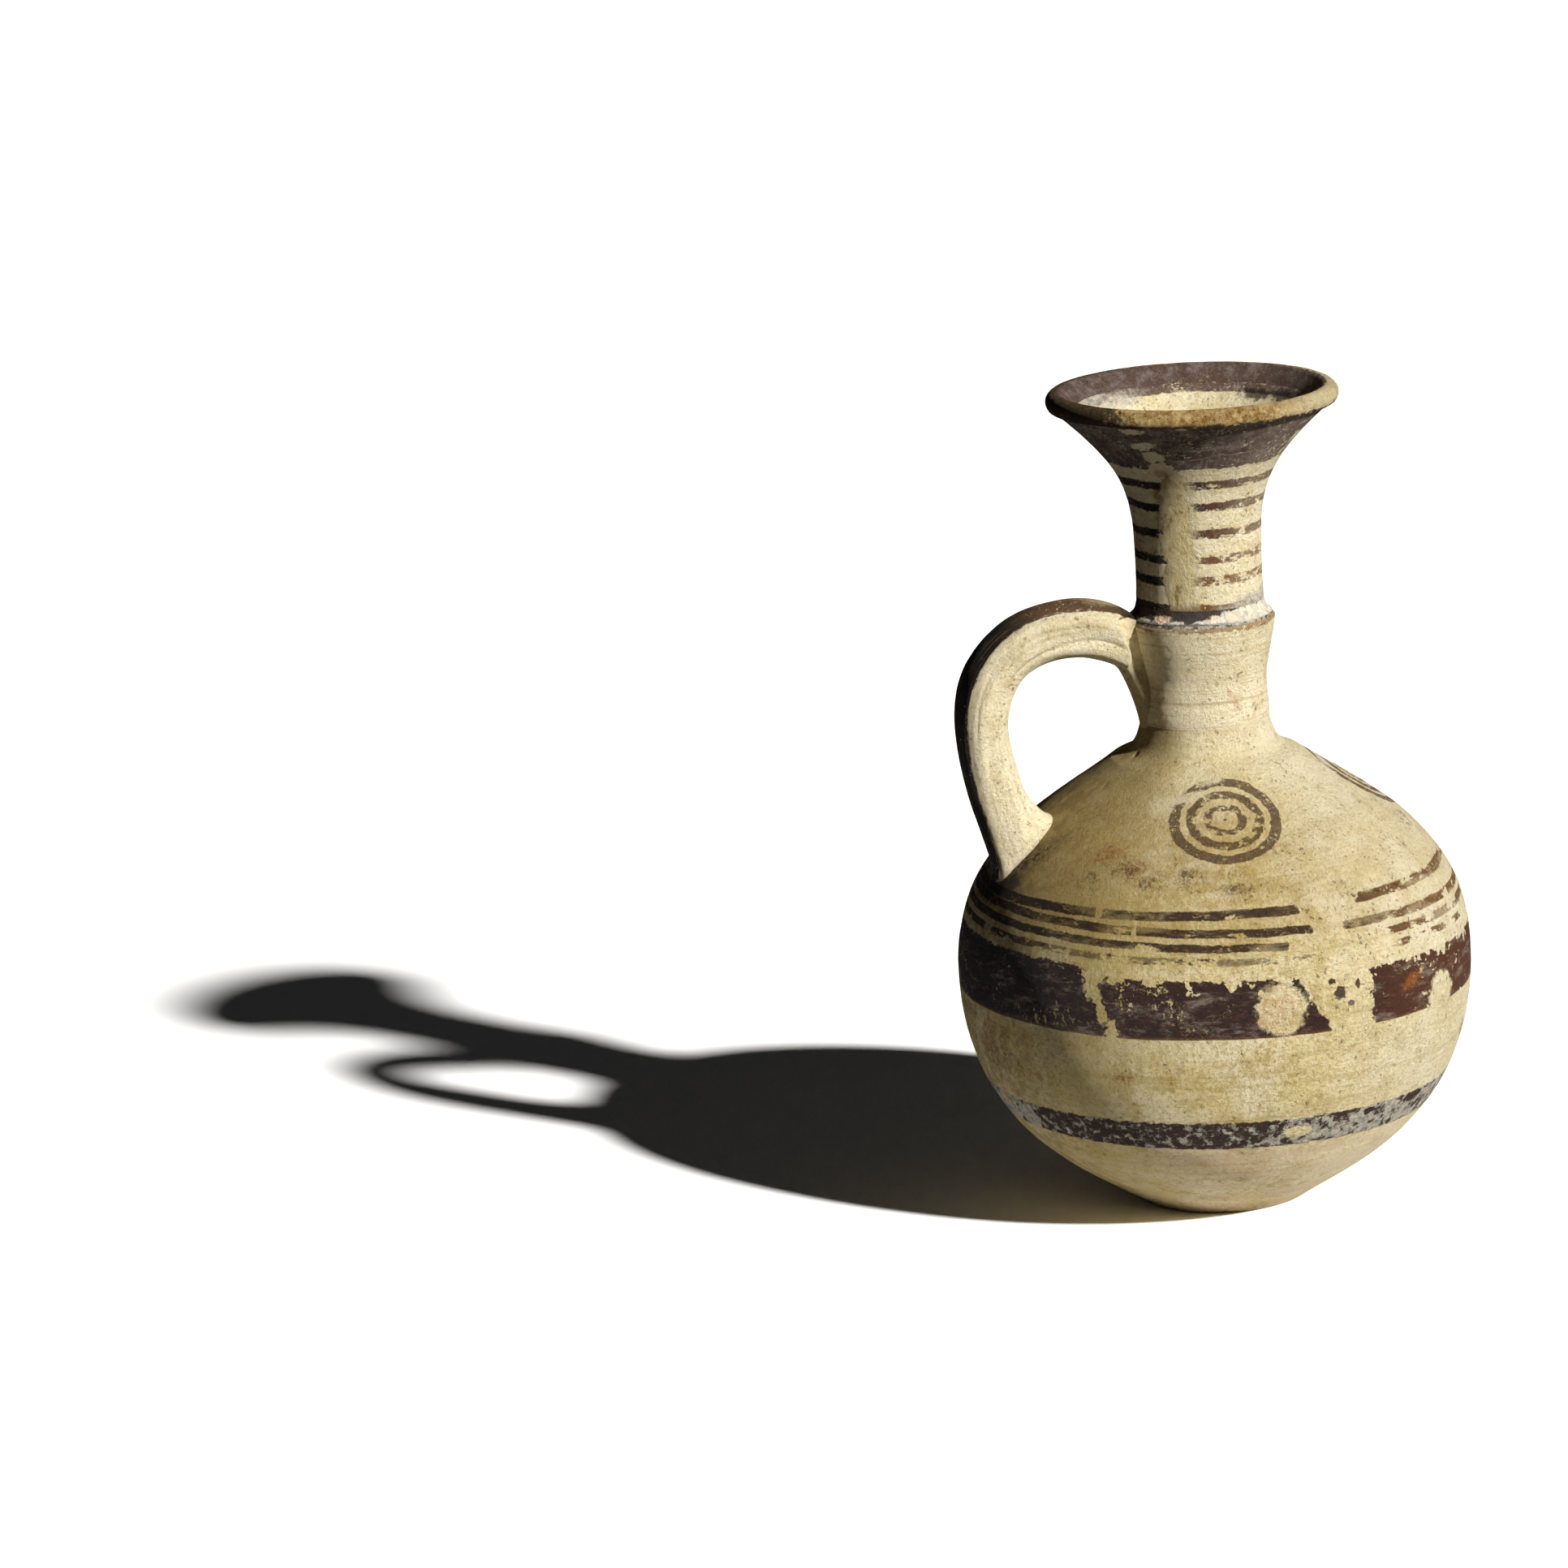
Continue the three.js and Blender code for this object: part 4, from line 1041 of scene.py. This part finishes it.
# Long facets left by wet fingers: height, turns round the section, turns in a millimetre, phase
STRAP_FACETS = [(0.22, 3, 0.07, 1.0), (0.18, 5, -0.045, 2.2), (0.14, 7, 0.11, 4.0), (0.16, 2, 0.19, 0.4)]
# Grooves between the facets: side of the section, shares of the strap at both ends, depth, half width
STRAP_GROOVES = [
    (3.42, 0.1, 0.5, 0.7, 0.1), (3.12, 0.35, 0.8, 0.35, 0.08), (2.72, 0.2, 0.7, 0.3, 0.07),
    (-0.1, 0.15, 0.7, 0.5, 0.1),
]
GROOVE_WANDER = 0.12
GROOVE_PACE = 0.08
OUTER_SWELLING = 0.7
GAP_SWELLING = 0.8
LUMP_HEIGHT = 0.8


def hump(turn, middle, width):
    return np.exp(-(((turn - middle) / width) ** 2))


def finger_marks(run, turn):
    """How far the hand left the strap proud of its plain section, or sunk."""
    share = run / strap_length
    rise = sum(size * np.sin(waves * turn + rate * run + phase) for size, waves, rate, phase in STRAP_FACETS)
    for side, first, last, depth, width in STRAP_GROOVES:
        wander = GROOVE_WANDER * np.sin(run * GROOVE_PACE + side)
        off = (turn - side - wander + np.pi) % (2 * np.pi) - np.pi
        ends = eased(share, first, first + 0.08) * eased(last - share, 0, 0.1)
        rise = rise - depth * ends * hump(off, 0, width)
    crest = eased(share, 0.08, 0.2) * eased(0.48 - share, 0, 0.14)
    swelling = GAP_SWELLING * hump(turn, 1.5 * np.pi, 0.8) + OUTER_SWELLING * hump(turn, 0.5 * np.pi, 0.8)
    lump = eased(0.42 - share, 0, 0.3) * hump(turn, 2.8, 0.55)
    return rise + LUMP_HEIGHT * lump + crest * swelling


def blunted(wave):
    """A sine or cosine made to go round a box with rounded corners."""
    return np.sign(wave) * np.abs(wave) ** (2 / STRAP_CORNER_POWER)


def along(line, places, at):
    """The two values of a line at a place on it."""
    return [np.interp(at, places, row) for row in line.T]


def strap_skin(run, turn, inset=0.0, pinch=1.0):
    """A point of the strap's surface, from its place along the strap and round its section."""
    inset = inset - finger_marks(run, turn)
    share = run / strap_length
    near, far = eased(share, 0, STRAP_WIDENING_SHARE), eased(1 - share, 0, STRAP_WIDENING_SHARE)
    width = STRAP_NECK_WIDTH + (STRAP_WIDTH - STRAP_NECK_WIDTH) * near
    width = width + (STRAP_TAIL_WIDTH - STRAP_WIDTH) * (1 - far)
    sideways = blunted(np.cos(turn)) * (width / 2 - inset) * pinch
    rise = blunted(np.sin(turn)) * (STRAP_THICKNESS / 2 - inset)
    (radius, height), (out, up) = along(strap_line, strap_runs, run), along(strap_up, strap_runs, run)
    return np.stack([-(radius + rise * out), sideways, height + rise * up], axis=-1)


def proud(point):
    """How far a point stands out of the jug's skin, measured level."""
    return np.hypot(point[..., 0], point[..., 1]) - np.interp(point[..., 2], jug_line[:, 1], jug_line[:, 0])


STRAP_SIDES = 112
HALVINGS = 40
turns = np.linspace(0, 2 * np.pi, STRAP_SIDES, endpoint=False)


def entry(inside, outside):
    """The place along the strap at which each line of its section enters the skin."""
    low, high = np.full(STRAP_SIDES, float(inside)), np.full(STRAP_SIDES, float(outside))
    for _ in range(HALVINGS):
        middle = (low + high) / 2
        buried = proud(strap_skin(middle, turns)) < 0
        low, high = np.where(buried, middle, low), np.where(buried, high, middle)
    return (low + high) / 2


neck_entry = entry(0, strap_length / 2)
tail_entry = entry(strap_length, strap_length / 2)
jug_runs = lengths_along(jug_line)


def skin_point(azimuth, run):
    """A point of the jug's skin from its azimuth and its place along the outline."""
    radius, height = along(jug_line, jug_runs, run)
    return np.stack([radius * np.sin(azimuth), -radius * np.cos(azimuth), height], axis=-1)


def by_side(far, gap, flank, power=2):
    """A size round the section: on the side away from the hand gap, on the gap's side and on the flanks."""
    share = np.abs(np.sin(turns)) ** power
    return flank * (1 - share) + np.where(np.sin(turns) > 0, far, gap) * share


WAY_HALF_WIDTH = 9
WAY_HALF_DEPTH = 7


def strap_way(run, turn):
    """The run along the strap, the way across it and the way through it, for its brush strokes."""
    run = np.broadcast_to(run, turn.shape)
    return np.stack([run, WAY_HALF_WIDTH * np.cos(turn), WAY_HALF_DEPTH * np.sin(turn)], axis=-1)


def signed_volume(mesh):
    mesh.calc_loop_triangles()
    corners = np.empty(len(mesh.loop_triangles) * 3, dtype=np.int32)
    mesh.loop_triangles.foreach_get("vertices", corners)
    a, b, c = np.moveaxis(read(mesh.vertices, "co")[corners.reshape(-1, 3)], 1, 0)
    return np.einsum("ij,ij->i", a, np.cross(b, c)).sum() / 6


def pressed_tree():
    """Gives a hand-made member the relief of fired clay."""
    graph = Shaping("pressed member", RELIEF_SIZES)
    return graph.close(relieve(graph, graph.given("Geometry")))


PRESSED = pressed_tree()
STRAP_RELIEF = relief(0.8, 0.0, 0.12, 0.3, 0.0)


def pressed(node, rings, skin_rings, ways, pulls, foot_lay=None):
    """A closed piece through a row of rings, of which the first ones are its visible skin."""
    hollow = foot_lay is not None
    count = len(rings)
    faces = []
    for ring in range(count if hollow else count - 1):
        near, far = ring * STRAP_SIDES, (ring + 1) % count * STRAP_SIDES
        for side in range(STRAP_SIDES):
            after = (side + 1) % STRAP_SIDES
            faces.append((near + side, near + after, far + after, far + side))
    if not hollow:
        faces.append(tuple(range(STRAP_SIDES))[::-1])
        faces.append(tuple(range((count - 1) * STRAP_SIDES, count * STRAP_SIDES)))
    piece = mesh_object(node + "_looks", np.vstack(rings) * MM, faces)
    mesh = piece.data
    if signed_volume(mesh) < 0:
        mesh.flip_normals()
    mesh.update()
    lays = read(mesh.vertex_normals, "vector")
    if hollow:
        lays[(skin_rings - 1) * STRAP_SIDES:skin_rings * STRAP_SIDES] = foot_lay
    seen = np.repeat(np.arange(count) < skin_rings, STRAP_SIDES).astype(float)
    keep(mesh, lay=lays, skin=seen, way=np.array(ways) * MM, pull=np.repeat(pulls, STRAP_SIDES))
    shaped(piece, PRESSED, {"Finish": handle_slip, **STRAP_RELIEF})
    hand_in(piece, node)


HANDLE_AZIMUTH = -np.pi / 2
COLLAR_ROWS = 22
FILLET_SHARES = by_side(far=0.55, gap=0.3, flank=0.8, power=1)[:, None]  # how closely it hugs its corner
FOOT_SINK = 0.3
FOOT_BURIAL = 1.2
FOOT_DROP = 0.8
CORNER_BURIAL = 1.5
COLLAR_LAP = 0.3
HIDDEN_INSET = 1.0


def collar(node, entries, outward_sign, climb, spread, pinch):
    """Clay smoothed in a fillet from the strap to the skin, closed by faces hidden in the clay."""
    top_run = entries + outward_sign * climb
    corner, top = strap_skin(entries, turns, 0, pinch), strap_skin(top_run, turns, 0, pinch)
    azimuth = np.arctan2(corner[:, 0], -corner[:, 1])
    run = np.interp(corner[:, 2], jug_line[:, 1], jug_runs)
    radius = np.hypot(corner[:, 0], corner[:, 1])
    turned = (azimuth - HANDLE_AZIMUTH + np.pi) % (2 * np.pi) - np.pi
    away = np.stack([radius * turned, run - run.mean()], axis=1)
    away /= np.linalg.norm(away, axis=1)[:, None]
    foot = skin_point(azimuth + spread * away[:, 0] / radius, run + spread * away[:, 1])
    out, up = along(jug_lay, jug_line[:, 1], foot[:, 2])
    radius = np.hypot(foot[:, 0], foot[:, 1])
    foot_lay = np.stack([out * foot[:, 0] / radius, out * foot[:, 1] / radius, up], axis=1)
    foot = foot - FOOT_SINK * foot_lay
    t = np.linspace(0, 1, COLLAR_ROWS)[:, None, None]
    handles = [end + FILLET_SHARES * (corner - end) for end in (top, foot)]
    fillet = bezier(t, top, *handles, foot)
    inward = 1 - FOOT_BURIAL / np.hypot(foot[:, 0], foot[:, 1])
    buried_foot = foot * np.stack([inward, inward, np.ones_like(inward)], axis=1) - (0, 0, FOOT_DROP)
    buried_corner = strap_skin(entries - outward_sign * CORNER_BURIAL, turns, HIDDEN_INSET, pinch)
    buried_top = strap_skin(top_run - outward_sign * COLLAR_LAP, turns, HIDDEN_INSET, pinch)
    steps = np.append(np.linspace(0, 1, COLLAR_ROWS), [1, 1, 1])
    ways = [strap_way(top_run + (entries - top_run) * step, turns) for step in steps]
    pulls = np.append(np.linspace(1, 0, COLLAR_ROWS), [0, 0, 0])
    pressed(node, [*fillet, buried_foot, buried_corner, buried_top], COLLAR_ROWS, ways, pulls, foot_lay)


# The brush stroke down the outer face: share of the strap, and how far round to the side it reaches
STROKE_REACH = [
    (0.0, 5.2), (0.15, 5.4), (0.3, 5.5), (0.45, 5.0), (0.65, 4.8), (0.85, 5.0), (0.94, 5.5),
    (0.99, 7.6),
]

handle = Finish("slip of the handle, with its brush stroke")
handle.slip((250, 238, 204), SLIP_PALE, (214, 190, 132), 0.3)
handle.wash(0.3, SLIP_PALE)
body_place = handle.place
handle.place = handle.attribute("way", 1)
run, _, depth = [part * METRE for part in handle.split(handle.place)]
pulled = handle.mottle(2.2, 161, (0.07, 1, 1), 5)
threads = handle.mottle(0.9, 162, (0.05, 1, 1), 3)
brushed = handle.mottle(1.4, 163, (0.06, 1, 1), 4)
handle.place = body_place
pull = handle.attribute("pull")
handle.wash(pulled.ramp(0.52, 0.68) * pull * 0.3, SLIP_TAN)
handle.wash(threads.ramp(0.56, 0.7) * pull * 0.25, (140, 112, 70))
handle.wash(pulled.ramp(0.46, 0.32) * pull * 0.6, (248, 236, 202))
handle.height += (pulled * 0.4 + threads * 0.1) * pull
# Painted shade on the foot of the neck collar, darkening it toward the shaded neck.
neck_foot_shade = pull.ramp(0.9, 0.35) * (run / strap_length).ramp(0.5, 0.4)
handle.wash(neck_foot_shade * 0.6, (172, 150, 102))
reach = handle.through(run / strap_length, STROKE_REACH, 8)
stroke = (depth + (brushed - 0.5) * 1.8 + handle.drift(1.2, 2.6, 164) - reach).ramp(-0.2, 0.3)
crest_worn = (run / strap_length).ramp(0.14, 0.2) * (run / strap_length).ramp(0.42, 0.3)
stroke = stroke * handle.kept(crest_worn * 0.16 + 0.14, 1.5, 165)
# The stroke's near-black is its dark paint with painted shade of the outer face, worn browner on the crest.
stroke_tone_with_shade = handle.cover(crest_worn, (34, 26, 20), (104, 78, 54))
handle.lay_paint(stroke, stroke_tone_with_shade, (84, 60, 40), 0.1)
handle.wash(threads.ramp(0.56, 0.68) * stroke * 0.5, (142, 112, 74))
worn_top = handle.patches([(-90, 173.5, 4, 1.5, 0, 28)], 0.9, 1.6, 166, 0.4)
handle.wash(worn_top * 0.8, (196, 176, 134))
HANDLE_RUST = [(-98, 151, 3, 5.0, 0, 68.5), (-99, 144, 2, 3.5, 0, 68), (-97, 134, 1.5, 2.5, 0, 67)]
handle_rust = handle.patches(HANDLE_RUST, 0.9, 1.2, 167, 0.5)
handle.wash(handle_rust * (1 - stroke) * 0.7, RUST)
handle_slip = handle.finish(stroke.ramp(0, 1, 0.88, 0.7))

NECK_CLIMB = by_side(far=2, gap=10, flank=10)
NECK_SPREAD = by_side(far=1.2, gap=13, flank=2.5)
NECK_PINCH = 0.45  # the clay behind the blunt end of the strap is narrower than the strap
TAIL_CLIMB = by_side(far=5, gap=15, flank=3)
TAIL_SPREAD = by_side(far=3, gap=6.5, flank=1.4)
STRAP_ROWS = 250
STRAP_BURIAL = 2.2
BLUNT_LENGTH = 2.2
TAIL_TAPER = 0.8
share = np.linspace(0, 1, STRAP_ROWS)[:, None]
rings = (neck_entry - STRAP_BURIAL) * (1 - share) + (tail_entry + STRAP_BURIAL) * share
blunt = eased(neck_entry + NECK_CLIMB - rings, 0, BLUNT_LENGTH)
inset = np.maximum(blunt, eased(rings - tail_entry + TAIL_CLIMB - COLLAR_LAP, 0, TAIL_TAPER))
pinches = 1 - (1 - NECK_PINCH) * blunt
strap_rings = [strap_skin(ring, turns, cut, pinch) for ring, cut, pinch in zip(rings, inset, pinches)]
strap_ways = [strap_way(ring, turns) for ring in rings]
pressed("handle_strap", strap_rings, STRAP_ROWS, strap_ways, np.ones(STRAP_ROWS))

# Collars of the strap
# The clay of the strap, drawn out and smoothed on to the neck and on to the shoulder.

collar("handle_neck_collar", neck_entry, 1, NECK_CLIMB, NECK_SPREAD, NECK_PINCH)
collar("handle_tail_collar", tail_entry, -1, TAIL_CLIMB, TAIL_SPREAD, 1)

# Floor, light and camera
# A white floor, a low hard sun from the front right, as the cast shadow shows, and hardly any fill.

FLOOR_REACH = 12.0
corners = [(x * FLOOR_REACH, y * FLOOR_REACH, 0) for x, y in ((-1, -1), (1, -1), (1, 1), (-1, 1))]
floor = mesh_object("floor", corners, [(0, 1, 2, 3)])
floor_material = bpy.data.materials.new("white floor")
floor_material.use_nodes = True
floor_paint = Graph(floor_material.node_tree)
floor_paint.tree.nodes.clear()
SHEET_REACH = 300  # the sheet lights the jug from within this distance of a place behind it
SHEET_MIDDLE = (-40, 50, 0)
FLOOR_SEEN = (1.4, 1.4, 1.4, 1)
floor_paint.place = floor_paint.node("ShaderNodeTexCoord", output="Object")
nearby = floor_paint.nearness(tuple(part * MM for part in SHEET_MIDDLE), [SHEET_REACH * MM] * 3)
matte = floor_paint.node("ShaderNodeBsdfDiffuse", {"Color": nearby.ramp(0, 0.75, 0.05, 0.9)})
seen = floor_paint.node("ShaderNodeBsdfDiffuse", {"Color": FLOOR_SEEN})
seen_direct = floor_paint.node("ShaderNodeLightPath", output="Is Camera Ray")
mixed = floor_paint.node("ShaderNodeMixShader", {0: seen_direct, 1: matte, 2: seen})
floor_paint.node("ShaderNodeOutputMaterial", {"Surface": mixed})
floor.data.materials.append(floor_material)

world = bpy.data.worlds.new("studio")
bpy.context.scene.world = world
world.use_nodes = True
sky = Graph(world.node_tree)
sky.tree.nodes.clear()
_, behind, rise = sky.split(sky.node("ShaderNodeTexCoord", output="Generated"))
strength = rise.ramp(0.1, 0.7, 0.02, 0.005) + behind.ramp(0.35, 0.95, 0.0, 0.02)
values = {"Color": (0.97, 0.98, 1.0, 1), "Strength": strength}
sky.node("ShaderNodeOutputWorld", {"Surface": sky.node("ShaderNodeBackground", values)})

CAMERA_AZIMUTH = -15
CAMERA_ELEVATION = 13.44
CAMERA_DISTANCE = 1913
CAMERA_AIM_HEIGHT = 118
CAMERA_ROLL = 2.34
PHOTO_WIDTH = 1932
FOCAL_PIXELS = 8402
AIM_PIXEL = (1488.1, 967.7)
SENSOR = 36
SUN_SIDE = 49.5  # degrees round from the camera to its right
SUN_ELEVATION = 30.75
SUN_DISC = 3
SUN_STRENGTH = 6.0
SUN_COLOUR = (1.0, 0.985, 0.955)


def direction(azimuth, elevation):
    """The direction to a place round the jug, with azimuth 0 in front of it."""
    azimuth, elevation = np.radians([azimuth, elevation])
    level = np.cos(elevation)
    return Vector((level * np.sin(azimuth), -level * np.cos(azimuth), np.sin(elevation)))


sun = bpy.data.lights.new("key", "SUN")
sun.energy = SUN_STRENGTH
sun.angle = np.radians(SUN_DISC)
sun.color = SUN_COLOUR
key = bpy.data.objects.new("key", sun)
toward_sun = direction(CAMERA_AZIMUTH + SUN_SIDE, SUN_ELEVATION)
key.rotation_euler = toward_sun.to_track_quat("Z", "Y").to_euler()
bpy.context.scene.collection.objects.link(key)

lens = bpy.data.cameras.new("camera")
lens.sensor_width = SENSOR
lens.lens = FOCAL_PIXELS / PHOTO_WIDTH * SENSOR
lens.shift_x = (PHOTO_WIDTH / 2 - AIM_PIXEL[0]) / PHOTO_WIDTH
lens.shift_y = (AIM_PIXEL[1] - PHOTO_WIDTH / 2) / PHOTO_WIDTH
lens.clip_end = 100
camera = bpy.data.objects.new("camera", lens)
toward = direction(CAMERA_AZIMUTH, CAMERA_ELEVATION)
roll = Matrix.Rotation(np.radians(-CAMERA_ROLL), 4, "Z")
turn = toward.to_track_quat("Z", "Y").to_matrix().to_4x4() @ roll
stand = Vector((0, 0, CAMERA_AIM_HEIGHT * MM)) + toward * CAMERA_DISTANCE * MM
camera.matrix_world = Matrix.Translation(stand) @ turn
bpy.context.scene.collection.objects.link(camera)
bpy.context.scene.camera = camera
bpy.context.scene.view_settings.view_transform = "Standard"
